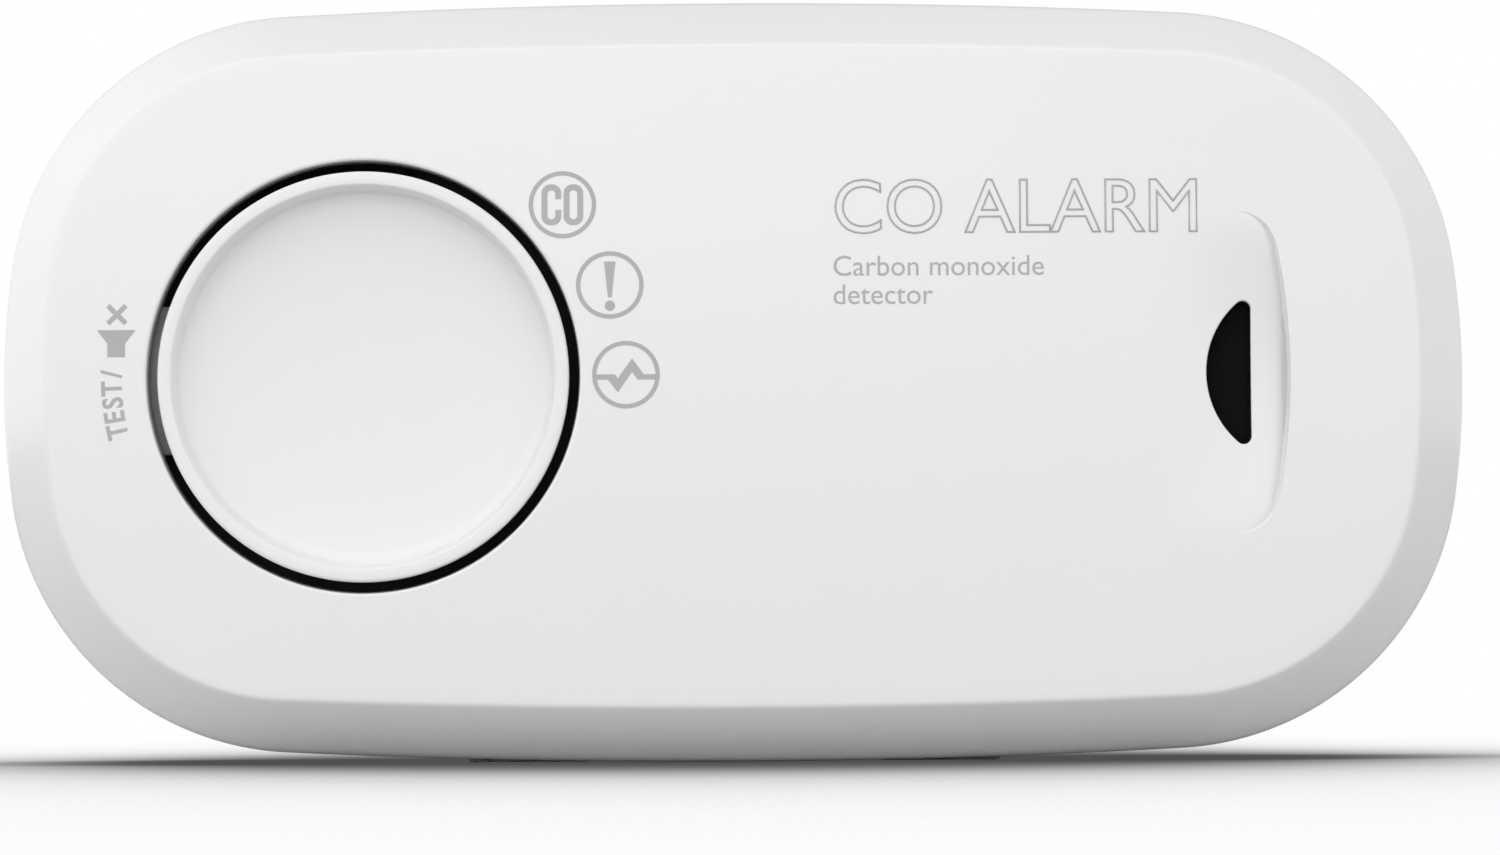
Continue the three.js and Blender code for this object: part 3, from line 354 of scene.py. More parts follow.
def front_cover():
    shell = Moulding()

    # Face, crease and bevel.
    outer = [shell.ring([(x, cover_depth(x, z), z) for x, z in outline(inset)]) for inset in COVER_RINGS]

    # The bevel's foot turns into the side, which runs down to the parting line.
    lean = math.atan2(BEVEL, BEVEL_DEPTH)
    foot = FACE + BEVEL_DEPTH + FOOT_RADIUS * math.tan(lean / 2)
    profile = []
    for i in range(8):
        angle = lean * (1 - i / 7)
        profile.append((FOOT_RADIUS * (1 - math.cos(angle)), foot - FOOT_RADIUS * math.sin(angle)))
    profile += [(0.0, foot + 1.2), (0.0, PARTING - 0.8), (0.0, PARTING - 0.25)]
    profile += [(0.07, PARTING - 0.07), (0.25, PARTING), (COVER_WALL, PARTING)]
    profile += [(COVER_WALL, PARTING - 0.4), (COVER_WALL, FACE + 9.0), (COVER_WALL + 4.4, FACE + COVER_WALL)]
    outer += [shell.ring([(x, y, z) for x, z in outline(inset)]) for inset, y in profile]
    shell.walls(outer)

    # Holes for the button and the vent.
    def button_plan(grow):
        return circle(HOLE_RADIUS + grow, 224, BUTTON_X)

    def inner_face(x, z):
        return FACE + COVER_WALL

    button_edge = rounded_edge(shell, button_plan, HOLE_EDGE, 7, cover_depth)
    vent_edge = rounded_edge(shell, vent_outline, VENT_EDGE, 5, cover_depth)
    button_end = shell.ring([(x, inner_face(x, z), z) for x, z in button_plan(-HOLE_DRAFT)])
    vent_end = shell.ring([(x, inner_face(x, z), z) for x, z in vent_outline(0)])
    shell.walls([*button_edge, button_end])
    shell.walls([*vent_edge, vent_end])

    # Outer face, with rows of points along the scoop's steep side.
    heights = [SCOOP_HALF_HEIGHT * math.sin(math.pi / 2 * (i / 64 - 1)) * 1.01 for i in range(129)]
    rows = [[(scoop_edge(z) - inside, z) for z in heights] for inside in SCOOP_ROWS]

    def on_face(x, z):
        near = 0.5 * POINT_SPACING
        if edge_distance(x, z) < BORDER + near:
            return False
        if math.hypot(x - BUTTON_X, z) < HOLE_RADIUS + HOLE_EDGE + near:
            return False
        in_vent = VENT_LEFT - 0.8 < x < VENT_RIGHT + 0.6 and abs(z) < 6.3
        near_scoop = abs(z) < SCOOP_HALF_HEIGHT * 1.05 and -0.6 < scoop_edge(z) - x < 1.7
        return not in_vent and not near_scoop

    def round_vent():
        close = []
        for grow in (0.45, 0.8):
            close += vent_outline(VENT_EDGE + grow)[::2]
        return [(x, z) for x, z in close if scoop_edge(z) - x > 1.5]

    loose = grid(POINT_SPACING, on_face) + round_vent()
    face = shell.sheet(outer[0], [button_edge[0], vent_edge[0]], loose, rows, cover_depth)
    exact = [*face, *button_edge[0], *vent_edge[0]]
    exact += [i for ring in outer[: len(COVER_RINGS)] for i in ring]
    for i in exact:
        x, _, z = shell.points[i]
        shell.true_normals[i] = cover_normal(x, z)

    # Inner face.
    shell.sheet(outer[-1], [button_end, vent_end], [], [], inner_face)
    return shell.piece("case_front", "root")


SURFACE = {"Colour": "NodeSocketColor", "Roughness": "NodeSocketFloat", "Height": "NodeSocketFloat"}


def add_node(tree, kind, values=(), **settings):
    """A node with its settings. The value of an input is a constant or the output of another node."""
    made = tree.nodes.new("ShaderNode" + kind)
    for name, value in settings.items():
        setattr(made, name, value)
    for socket, value in dict(values).items():
        if isinstance(value, bpy.types.NodeSocket):
            tree.links.new(value, made.inputs[socket])
        else:
            made.inputs[socket].default_value = value
    return made


def maths(tree, operation, *values, clamp=False):
    return add_node(tree, "Math", enumerate(values), operation=operation, use_clamp=clamp).outputs[0]


def vector_maths(tree, operation, *values):
    return add_node(tree, "VectorMath", enumerate(values), operation=operation).outputs


def node_group(name, inputs, outputs):
    """An empty group of shader nodes, with what it is given and what it results in."""
    group = bpy.data.node_groups.new(name, "ShaderNodeTree")
    for socket, value in inputs.items():
        kind = "NodeSocketColor" if isinstance(value, tuple) else "NodeSocketFloat"
        group.interface.new_socket(name=socket, in_out="INPUT", socket_type=kind).default_value = value
    for socket, kind in outputs.items():
        group.interface.new_socket(name=socket, in_out="OUTPUT", socket_type=kind)
    return group, group.nodes.new("NodeGroupInput").outputs, group.nodes.new("NodeGroupOutput")


def connect(tree, target, sockets):
    for name, value in sockets.items():
        tree.links.new(value, target.inputs[name])


def moulded_skin():
    """Slow drift in colour and gloss, and the fine grain that a mould leaves in plastic."""
    given_values = {"Colour": (0.8, 0.8, 0.8, 1), "Colour Drift": 0.01, "Roughness": 0.3}
    given_values |= {"Roughness Drift": 0.04, "Grain Scale": 2000.0}
    group, given, result = node_group("moulded_skin", given_values, SURFACE)
    place = add_node(group, "TexCoord").outputs["Object"]
    cloud = add_node(group, "TexNoise", {"Vector": place, "Scale": 45, "Detail": 4}).outputs["Fac"]
    grain = add_node(group, "TexNoise", {"Vector": place, "Scale": given["Grain Scale"], "Detail": 3})
    centred = maths(group, "SUBTRACT", cloud, 0.5)
    shade = maths(group, "MULTIPLY_ADD", centred, given["Colour Drift"], 1.0)
    tint = add_node(group, "VectorMath", {0: given["Colour"], "Scale": shade}, operation="SCALE")
    gloss = maths(group, "MULTIPLY_ADD", centred, given["Roughness Drift"], given["Roughness"])
    connect(group, result, {"Colour": tint.outputs[0], "Roughness": gloss, "Height": grain.outputs["Fac"]})
    return group


SKIN = moulded_skin()


def surface_material(name, group, values, relief, metallic=0.0):
    """A material whose colour, roughness and fine relief come from one group of nodes."""
    material = bpy.data.materials.new(name)
    material.use_nodes = True
    tree = material.node_tree
    shader = tree.nodes["Principled BSDF"]
    shader.inputs["Metallic"].default_value = metallic
    colour, roughness, height = add_node(tree, "Group", values, node_tree=group).outputs
    bump = add_node(tree, "Bump", {"Distance": relief, "Height": height})
    connect(tree, shader, {"Base Color": colour, "Roughness": roughness, "Normal": bump.outputs["Normal"]})
    return material


def skin_material(name, colour, roughness, grain_scale, grain_depth, drift, gloss_drift):
    values = {"Colour": (*colour, 1), "Colour Drift": drift, "Roughness": roughness}
    values |= {"Roughness Drift": gloss_drift, "Grain Scale": grain_scale}
    return surface_material(name, SKIN, values, grain_depth)


cover_plastic = skin_material("glossy_white_abs", COVER_COLOUR, 0.18, 900, 0.000004, 0.012, 0.03)

case_front = front_cover()
case_front.data.materials.append(cover_plastic)
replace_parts(case_front, "front_cover")

# ------------------------------------------------------------------------------
# Printed marks
# Grey pad printing on the cover: three status signs round the button, the test and mute sign on its left,
# and a plain name with two lines under it.
# ------------------------------------------------------------------------------

INK_COLOUR = (0.43, 0.43, 0.435)
INK_HEIGHT = 0.015
SIGN_REACH = 21.2
SIGN_RADIUS = 2.73
SIGN_LINE = 0.36
LETTER_HALF_WIDTH = 0.8
LETTER_HALF_HEIGHT = 1.66
LETTER_STROKE = 0.49
LETTER_CORNER = 0.72
LETTER_APART = 0.89
LETTER_OPENING = (0.45, -0.4)
CROSS_HALF_WIDTH = 0.2
CROSS_REACH = 1.025
TEST_REACH = 20.2
TEST_START = 192.4
TEST_STEP = 3.3
MUTE_TURN = 172
NAME_LEFT = 8.05
# Words, letter size, stretch, width of the outline and height on the cover.
NAME_LINES = [
    ("CO ALARM", 6.2, 0.96, 0.16, 11.4),
    ("Carbon monoxide", 2.35, 0.98, 0.0, 7.9),
    ("detector", 2.35, 0.98, 0.0, 5.6),
]


def on_button_circle(reach, degrees):
    angle = math.radians(degrees)
    return BUTTON_X + reach * math.cos(angle), reach * math.sin(angle)


def printed(curve, x, z, degrees=0.0, stretch=1.0):
    """The flat shape of a curve or text, laid on the cover at x and z."""
    holder = put("print", curve)
    flat = bpy.data.meshes.new_from_object(holder.evaluated_get(bpy.context.evaluated_depsgraph_get()))
    bpy.data.objects.remove(holder)
    angle = math.radians(degrees)
    for vertex in flat.vertices:
        wide, tall, thick = vertex.co
        across = x + wide * stretch * math.cos(angle) - tall * math.sin(angle)
        up = z + wide * stretch * math.sin(angle) + tall * math.cos(angle)
        vertex.co = Vector((across, cover_depth(across, up) - thick, up)) * MM + MIDDLE
    return flat


def lettering(text, size, bold=0.0, centred=False, line=0.0):
    """Plain lettering. With a line width it is drawn as outlines only."""
    font = bpy.data.curves.new("lettering", "FONT")
    font.body = text
    font.size = size
    font.offset = bold
    font.resolution_u = 6
    if centred:
        font.align_x = "CENTER"
        font.align_y = "CENTER"
    if line:
        font.fill_mode = "NONE"
        font.bevel_depth = line / 2
        font.bevel_resolution = 1
    else:
        font.extrude = INK_HEIGHT
    return font


def shape_of(outlines):
    """A filled flat shape. Outlines inside others are holes."""
    curve = bpy.data.curves.new("sign", "CURVE")
    curve.dimensions = "2D"
    curve.fill_mode = "BOTH"
    curve.extrude = INK_HEIGHT
    for points in outlines:
        spline = curve.splines.new("POLY")
        spline.points.add(len(points) - 1)
        for point, (x, z) in zip(spline.points, points):
            point.co = (x, z, 0, 1)
        spline.use_cyclic_u = True
    return curve


def sign_ring():
    return [circle(SIGN_RADIUS, 72), circle(SIGN_RADIUS - SIGN_LINE, 72)]


def pulse_line():
    """A flat line that dips, peaks and runs flat again."""
    ends = SIGN_RADIUS - SIGN_LINE + 0.03
    upper = [(-ends, 0.03), (-0.88, 0.03), (-0.66, -0.29), (0.49, 1.32), (1.43, 0.03), (ends, 0.03)]
    lower = [(ends, -0.4), (0.93, -0.4), (0.49, 0.22), (-0.66, -1.43), (-1.45, -0.4), (-ends, -0.4)]
    return [upper + lower]


def rounded_box(half_width, half_height, corner, x):
    """Counter-clockwise from the middle of the right side."""
    points = []
    for quarter, (right, up) in enumerate(((1, 1), (-1, 1), (-1, -1), (1, -1))):
        centre = (x + right * (half_width - corner), up * (half_height - corner))
        points += arc(centre, corner, math.pi / 2 * quarter, math.pi / 2 * (quarter + 1), 8, True)
    return points


def gas_letters():
    """A tall, bold O, and a C that is the same letter cut open on its right."""
    inner_width = LETTER_HALF_WIDTH - LETTER_STROKE
    outer = (LETTER_HALF_WIDTH, LETTER_HALF_HEIGHT, LETTER_CORNER)
    inner = (inner_width, LETTER_HALF_HEIGHT - LETTER_STROKE, inner_width * 0.95)
    right, left = LETTER_HALF_WIDTH - LETTER_APART, inner_width - LETTER_APART
    upper, lower = LETTER_OPENING
    letter_c = [(right, upper), *rounded_box(*outer, -LETTER_APART), (right, lower)]
    letter_c += [(left, lower), *reversed(rounded_box(*inner, -LETTER_APART)), (left, upper)]
    return [rounded_box(*outer, LETTER_APART), rounded_box(*inner, LETTER_APART), letter_c]


def warning_sign():
    bar = [(-0.47, 1.9), (0.47, 1.9), (0.15, -1.0), (-0.15, -1.0)]
    return [*sign_ring(), bar, circle(0.42, 24, 0, -1.68)]


def mute_sign():
    """A loudspeaker that faces up."""
    return [[(-1.58, 1.05), (1.58, 1.05), (0.72, -0.05), (0.72, -1.15), (-0.72, -1.15), (-0.72, -0.05)]]


def cross_sign():
    """Two crossed bars as one outline."""
    half, reach = CROSS_HALF_WIDTH, CROSS_REACH
    points = []
    for quarter in range(4):
        turn = math.pi / 2 * quarter + math.pi / 4
        for across, along in ((half, half), (half, reach), (-half, reach)):
            x = across * math.cos(turn) - along * math.sin(turn)
            points.append((x, across * math.sin(turn) + along * math.cos(turn)))
    return [points]


def joined(name, meshes):
    """One piece made of several printed shapes."""
    work = bmesh.new()
    for mesh in meshes:
        work.from_mesh(mesh)
        bpy.data.meshes.remove(mesh)
    bmesh.ops.remove_doubles(work, verts=work.verts, dist=1e-7)
    mesh = bpy.data.meshes.new(name)
    work.to_mesh(mesh)
    work.free()
    mesh.materials.append(ink)
    shown = put(name, mesh)
    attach(shown, "root")


ink = skin_material("grey_ink", INK_COLOUR, 0.5, 6000, 0.000003, 0.05, 0.08)

gas, fault, power = (on_button_circle(SIGN_REACH, degrees) for degrees in (40.5, 20, 0))
signs = [(sign_ring(), gas), (gas_letters(), gas), (warning_sign(), fault)]
signs += [(sign_ring(), power), (pulse_line(), power)]
joined("status_signs", [printed(shape_of(sign), *place) for sign, place in signs])

test_marks = []
for number, letter in enumerate("TEST/"):
    turn = TEST_START - TEST_STEP * number
    word = lettering(letter, 2.3, 0.06, True)
    test_marks.append(printed(word, *on_button_circle(TEST_REACH, turn), turn - 90, 0.86))
mute_x = on_button_circle(TEST_REACH - 0.1, MUTE_TURN)[0]
test_marks.append(printed(shape_of(mute_sign()), mute_x, 2.8))
test_marks.append(printed(shape_of(cross_sign()), mute_x + 0.05, 5.1))
joined("test_sign", test_marks)

name_marks = []
for words, size, stretch, line, height in NAME_LINES:
    name_marks.append(printed(lettering(words, size, line=line), NAME_LEFT, height, 0.0, stretch))
joined("name_print", name_marks)

# ------------------------------------------------------------------------------
# Test button
# A dished disc of white plastic with a set-back skirt. The web on its left runs under the cover to the
# pivot shaft that it turns on, and both are moulded in one with the disc.
# ------------------------------------------------------------------------------

BUTTON_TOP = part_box("test_button")[0][1] / MM
BUTTON_RADIUS = 16.6
RIM_INSIDE = 15.5
DISH_DEPTH = 2.8
DISH_SAG = 0.42
FLOOR_EDGE = RIM_INSIDE - 1.6
WALL_FOOT = RIM_INSIDE - 0.4
FLOOR_TURN = 0.2
INNER_EDGE = 0.16
OUTER_EDGE = 0.28
LIP = BUTTON_TOP + 1.1
SKIRT_RADIUS = BUTTON_RADIUS - 0.8
SKIRT_END = FACE + 4.5
DISC_BACK = BUTTON_TOP + 3.1
WEB_HALF = 6.05
WEB_FRONT = FACE + 5.0
WEB_BACK = FACE + 5.9
PIVOT_X = -50.5
PIVOT_Y = FACE + 4.2
SHAFT_PROFILE = [(0, -8.85), (1.0, -8.85), (1.2, -8.65), (1.2, 8.65), (1.0, 8.85), (0, 8.85)]


def turned(shell, profile, count, x=0.0, z=0.0):
    """A turned body from radius and depth; its first and last points lie on the axis."""
    rings = []
    for radius, y in profile:
        if radius == 0:
            rings.append(shell.ring([(x, y, z)]))
        else:
            rings.append(shell.ring([(px, y, pz) for px, pz in circle(radius, count, x, z)]))
    for first, second in zip(rings, rings[1:]):
        if len(first) == 1:
            shell.faces += [(first[0], second[i], second[(i + 1) % count]) for i in range(count)]
        elif len(second) == 1:
            shell.faces += [(first[i], second[0], first[(i + 1) % count]) for i in range(count)]
        else:
            shell.wall(first, second)


def dish_profile():
    """From the middle of the dish out over the rim and down the skirt, then back inside it."""
    low = BUTTON_TOP + DISH_DEPTH - DISH_SAG
    meet = low - FLOOR_TURN
    start = BUTTON_TOP + INNER_EDGE
    profile = []
    for i in range(13):
        radius = FLOOR_EDGE * i / 12
        profile.append((radius, low + DISH_SAG * (1 - (radius / FLOOR_EDGE) ** 2)))
    # The floor turns up into the steep, straight side of the dish.
    for i in range(1, 7):
        t = i / 6
        profile.append((FLOOR_EDGE + (WALL_FOOT - FLOOR_EDGE) * t, low - FLOOR_TURN * t * t))
    for i in range(1, 5):
        t = i / 5
        profile.append((WALL_FOOT + (RIM_INSIDE - WALL_FOOT) * t, meet + (start - meet) * t))
    for i in range(5):
        angle = math.pi / 2 * (0.25 + 0.75 * i / 4)
        reach = RIM_INSIDE + INNER_EDGE * (1 - math.cos(angle))
        profile.append((reach, start - INNER_EDGE * math.sin(angle)))
    for i in range(7):
        angle = math.pi / 2 * i / 6
        reach = BUTTON_RADIUS - OUTER_EDGE * (1 - math.sin(angle))
        profile.append((reach, BUTTON_TOP + OUTER_EDGE * (1 - math.cos(angle))))
    # Under its lip the skirt is set back, so the gap round the button stays dark.
    side = SKIRT_RADIUS
    profile += [(BUTTON_RADIUS, LIP - 0.1), (BUTTON_RADIUS - 0.1, LIP), (side + 0.1, LIP + 0.15)]
    profile += [(side, LIP + 0.3), (side, SKIRT_END - 0.15), (side - 0.15, SKIRT_END)]
    profile += [(side - 0.85, SKIRT_END), (side - 1.0, SKIRT_END - 0.2), (side - 1.0, DISC_BACK), (0, DISC_BACK)]
    return profile


def box_shell(shell, low, high, edge):
    """A block with its edges chamfered, from its lowest to its highest corner."""
    middle = [(a + b) / 2 for a, b in zip(low, high)]
    half = [(b - a) / 2 for a, b in zip(low, high)]
    work = bmesh.new()
    bmesh.ops.create_cube(work, size=2)
    for vertex in work.verts:
        vertex.co = Vector([c * h + m for c, h, m in zip(vertex.co, half, middle)])
    if edge:
        bmesh.ops.bevel(work, geom=list(work.edges), offset=edge, segments=2, affect="EDGES", profile=0.5)
    work.verts.index_update()
    start = len(shell.points)
    shell.points.extend(tuple(v.co) for v in work.verts)
    shell.faces.extend(tuple(start + v.index for v in face.verts) for face in work.faces)
    work.free()


def test_button():
    shell = Moulding()
    turned(shell, dish_profile(), 224, BUTTON_X)
    web_end = BUTTON_X - BUTTON_RADIUS + 1.2
    box_shell(shell, (PIVOT_X, WEB_FRONT, -WEB_HALF), (web_end, WEB_BACK, WEB_HALF), 0.15)
    shaft = Moulding()
    turned(shaft, SHAFT_PROFILE, 32)
    start = len(shell.points)
    shell.points += [(x + PIVOT_X, z + PIVOT_Y, y) for x, y, z in shaft.points]
    shell.faces += [tuple(start + i for i in face) for face in shaft.faces]
    return shell.piece("dished_button", "test_button")


button_plastic = skin_material("satin_white_abs", COVER_COLOUR, 0.22, 900, 0.000004, 0.012, 0.03)
dished_button = test_button()
dished_button.data.materials.append(button_plastic)
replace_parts(dished_button, "test_button")

# ------------------------------------------------------------------------------
# Switch
# A square tactile switch with a long round plunger, both moulded in black glass-filled nylon. It is
# soldered to the board under one of the button's ears.
# ------------------------------------------------------------------------------

EDGE_RADIUS = 0.0002
EDGE_TURN = (0.995, 0.9)
WEAR_CLOUD = (0.42, 0.65)
BLACK_NYLON = (0.006, 0.006, 0.006)
RUBBED_NYLON = (0.02, 0.02, 0.02)


def ramp(tree, value, start, end):
    """A mask that grows from 0 at the start value to 1 at the end value."""
    return add_node(tree, "MapRange", {"Value": value, "From Min": start, "From Max": end}).outputs["Result"]


def worn_edges():
    """A mask of the edges that handling rubs bright, broken up by cloudy noise."""
    group, _, result = node_group("worn_edges", {}, {"Wear": "NodeSocketFloat"})
    rounded = add_node(group, "Bevel", {"Radius": EDGE_RADIUS}, samples=4).outputs["Normal"]
    surface = add_node(group, "NewGeometry").outputs["Normal"]
    along = vector_maths(group, "DOT_PRODUCT", rounded, surface)["Value"]
    turn = ramp(group, along, *EDGE_TURN)
    place = add_node(group, "TexCoord").outputs["Object"]
    cloud = add_node(group, "TexNoise", {"Vector": place, "Scale": 700, "Detail": 4}).outputs["Fac"]
    patchy = ramp(group, cloud, *WEAR_CLOUD)
    connect(group, result, {"Wear": maths(group, "MULTIPLY", turn, patchy)})
    return group


WEAR = worn_edges()


def mixed(tree, amount, first, second):
    """Two colours mixed by a mask."""
    return add_node(tree, "Mix", {0: amount, 6: first, 7: second}, data_type="RGBA").outputs[2]


def paint_over(material, mask, colour):
    """Lets another colour show on a finish where a mask is 1."""
    tree = material.node_tree
    base = tree.nodes["Principled BSDF"].inputs["Base Color"]
    tree.links.new(mixed(tree, mask, base.links[0].from_socket, (*colour, 1)), base)


def emboss(material, height, depth):
    """Raises a finish where a mask is 1."""
    tree = material.node_tree
    bump = add_node(tree, "Bump", {"Distance": depth, "Height": height})
    connect(tree, tree.nodes["Principled BSDF"], {"Normal": bump.outputs["Normal"]})


def plate(material, mask):
    """Makes a finish metallic where a mask is 1."""
    connect(material.node_tree, material.node_tree.nodes["Principled BSDF"], {"Metallic": mask})


def soften(target, edge):
    soft = target.modifiers.new("soft_edges", "BEVEL")
    soft.width = edge * MM
    soft.segments = 2
    soft.limit_method = "ANGLE"
    soft.angle_limit = math.radians(40)
    return soft


def recoat(names, material, edge):
    """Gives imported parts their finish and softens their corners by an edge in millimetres."""
    for name in names:
        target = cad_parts[name]
        target.data.materials.clear()
        target.data.materials.append(material)
        soften(target, edge).harden_normals = True


black_plastic = skin_material("black_nylon", BLACK_NYLON, 0.6, 3000, 0.00001, 0.3, 0.15)
wear = add_node(black_plastic.node_tree, "Group", node_tree=WEAR).outputs["Wear"]
paint_over(black_plastic, wear, RUBBED_NYLON)
recoat(["switch_body"], black_plastic, 0.15)
recoat(["switch_plunger"], black_plastic, 0.1)

# ------------------------------------------------------------------------------
# Circuit board
# Glass laminate under green solder mask, with faint copper tracks, tinned vias and notches for the screw
# posts. It rests on three posts of the rear housing.
# ------------------------------------------------------------------------------

MASK_GREEN = (0.012, 0.085, 0.035)
TRACK_GREEN = (0.03, 0.16, 0.06)
TIN = (0.55, 0.55, 0.52)
VIA_HOLE = 0.06
VIA_RIM = 0.13


def laminate():
    material = skin_material("solder_mask", MASK_GREEN, 0.35, 2500, 0.000008, 0.2, 0.1)
    tree = material.node_tree
    place = add_node(tree, "TexCoord").outputs["Object"]
    flat = add_node(tree, "Mapping", {"Vector": place, "Rotation": (math.pi / 2, 0, 0)}).outputs["Vector"]
    brick = {"Vector": flat, "Scale": 160, "Mortar Size": 0.035, "Mortar Smooth": 0.1}
    tracks = add_node(tree, "TexBrick", brick, offset=0.37, squash=0.6).outputs["Fac"]
    vias = add_node(tree, "TexVoronoi", {"Vector": flat, "Scale": 240, "Randomness": 0.7}).outputs["Distance"]
    inside = maths(tree, "LESS_THAN", vias, VIA_RIM)
    via_ring = maths(tree, "MULTIPLY", inside, maths(tree, "GREATER_THAN", vias, VIA_HOLE))
    paint_over(material, tracks, TRACK_GREEN)
    paint_over(material, via_ring, TIN)
    emboss(material, maths(tree, "MAXIMUM", tracks, via_ring), 0.00004)
    return material


recoat(["circuit_board"], laminate(), 0.08)

# ------------------------------------------------------------------------------
# Status lights
# Three surface-mounted diodes with tinted resin lenses, under one clear acrylic moulding of three light
# pipes that a curved bridge joins.
# ------------------------------------------------------------------------------

ACRYLIC = (0.9, 0.93, 0.94)
RESINS = {
    "alarm_led": ("red_resin", (0.5, 0.02, 0.012)),
    "fault_led": ("amber_resin", (0.72, 0.28, 0.01)),
    "power_led": ("green_resin", (0.03, 0.34, 0.07)),
}


def clear_material(name, colour, roughness, through, index):
    """Clear or tinted resin with a faint waviness."""
    material = skin_material(name, colour, roughness, 1200, 0.000006, 0.05, 0.04)
    shader = material.node_tree.nodes["Principled BSDF"]
    shader.inputs["Transmission Weight"].default_value = through
    shader.inputs["IOR"].default_value = index
    return material


recoat(["light_guide"], clear_material("clear_acrylic", ACRYLIC, 0.12, 0.9, 1.49), 0.08)
for led, (resin, colour) in RESINS.items():
    recoat([led], clear_material(resin, colour, 0.16, 0.35, 1.53), 0.08)

# ------------------------------------------------------------------------------
# Sounder
# A brass disc with a silvered ceramic disc glued to it, clamped by its edge between a black nylon cup and
# cap. The cap's collar lies behind the gap round the test button.
# ------------------------------------------------------------------------------

BRASS = ((0.72, 0.5, 0.2), (0.38, 0.24, 0.09))
CERAMIC = (0.6, 0.56, 0.46)
SILVER = (0.66, 0.65, 0.62)
SILVER_REACH = 0.43
TARNISH_CLOUD = (0.42, 0.78)


def worn_metal():
    """Metal with cloudy tarnish, fine drawn lines and bright edges."""
    given_values = {"Colour": (0.6, 0.6, 0.6, 1), "Tarnish": (0.3, 0.3, 0.3, 1), "Roughness": 0.3}
    group, given, result = node_group("worn_metal", given_values, SURFACE)
    place = add_node(group, "TexCoord").outputs["Object"]
    cloud = add_node(group, "TexNoise", {"Vector": place, "Scale": 220, "Detail": 6, "Roughness": 0.6})
    clouded = ramp(group, cloud.outputs["Fac"], *TARNISH_CLOUD)
    drawn = add_node(group, "Mapping", {"Vector": place, "Scale": (1, 1, 14)}).outputs["Vector"]
    lines = add_node(group, "TexNoise", {"Vector": drawn, "Scale": 500, "Detail": 3}).outputs["Fac"]
    wear = add_node(group, "Group", node_tree=WEAR).outputs["Wear"]
    colour = mixed(group, wear, mixed(group, clouded, given["Colour"], given["Tarnish"]), given["Colour"])
    dull = maths(group, "MULTIPLY_ADD", clouded, 0.3, given["Roughness"])
    streaks = maths(group, "MULTIPLY_ADD", lines, 0.16, dull)
    rubbed = maths(group, "MULTIPLY_ADD", wear, -0.1, streaks)
    connect(group, result, {"Colour": colour, "Roughness": rubbed, "Height": lines})
    return group


METAL = worn_metal()


def metal_material(name, colours, roughness):
    colour, tarnish = colours
    values = {"Colour": (*colour, 1), "Tarnish": (*tarnish, 1), "Roughness": roughness}
    return surface_material(name, METAL, values, 0.000006, 1.0)


def from_axis(tree, middle):
    """Distance from a line from front to back through the part's own box, which is 1 wide and 1 high."""
    place = add_node(tree, "TexCoord").outputs["Generated"]
    away = vector_maths(tree, "SUBTRACT", place, middle)[0]
    flat = vector_maths(tree, "MULTIPLY", away, (1, 0, 1))[0]
    return vector_maths(tree, "LENGTH", flat)["Value"]


def silvered_ceramic():
    """Pale ceramic with a thin round electrode of silver."""
    material = skin_material("silvered_ceramic", CERAMIC, 0.55, 1800, 0.00001, 0.2, 0.15)
    tree = material.node_tree
    electrode = maths(tree, "LESS_THAN", from_axis(tree, (0.5, 0.5, 0.5)), SILVER_REACH)
    paint_over(material, electrode, SILVER)
    plate(material, electrode)
    return material


recoat(["sounder_cup", "sounder_cap"], black_plastic, 0.15)
recoat(["sounder_brass_disc"], metal_material("rolled_brass", BRASS, 0.24), 0.03)
recoat(["sounder_ceramic_disc"], silvered_ceramic(), 0.03)

# ------------------------------------------------------------------------------
# Board components
# Two chips in matt black epoxy, a drum inductor of ferrite wound with enamelled copper, and an aluminium
# capacitor in a dark printed sleeve.
# ------------------------------------------------------------------------------

EPOXY = (0.012, 0.012, 0.013)
PALE_DOT = (0.2, 0.2, 0.2)
DOT_PLACE = (0.16, 0, 0.84)
DOT_RADIUS = 0.05
FERRITE = (0.03, 0.03, 0.032)
COPPER = (0.62, 0.24, 0.1)
FLANGES = (0.3, 0.76)
CAN_SLEEVE = (0.014, 0.018, 0.03)
CAN_STRIPE = (0.45, 0.46, 0.48)
CAN = (0.7, 0.7, 0.69)
STRIPE_WIDTH = 0.1
CAN_END = 0.02


def in_box(tree):
    """Separate x, y and z over the part's own box, each from 0 to 1."""
    place = add_node(tree, "TexCoord").outputs["Generated"]
    return add_node(tree, "SeparateXYZ", {0: place}).outputs


def chip_epoxy():
    """Matt epoxy with a round pale dot moulded in one corner."""
    material = skin_material("chip_epoxy", EPOXY, 0.62, 4000, 0.00002, 0.3, 0.1)
    tree = material.node_tree
    paint_over(material, maths(tree, "LESS_THAN", from_axis(tree, DOT_PLACE), DOT_RADIUS), PALE_DOT)
    return material


def wound_ferrite():
    """Dark ferrite at the two flanges and a copper winding between them."""
    material = skin_material("wound_ferrite", FERRITE, 0.5, 2500, 0.00002, 0.3, 0.1)
    tree = material.node_tree
    along = in_box(tree)["Y"]
    above = maths(tree, "GREATER_THAN", along, FLANGES[0])
    wound = maths(tree, "MULTIPLY", above, maths(tree, "LESS_THAN", along, FLANGES[1]))
    place = add_node(tree, "TexCoord").outputs["Generated"]
    turns = {"Vector": place, "Scale": 5, "Distortion": 0.6}
    wires = add_node(tree, "TexWave", turns, bands_direction="Y").outputs["Fac"]
    paint_over(material, wound, COPPER)
    plate(material, wound)
    emboss(material, maths(tree, "MULTIPLY", wires, wound), 0.00012)
    return material


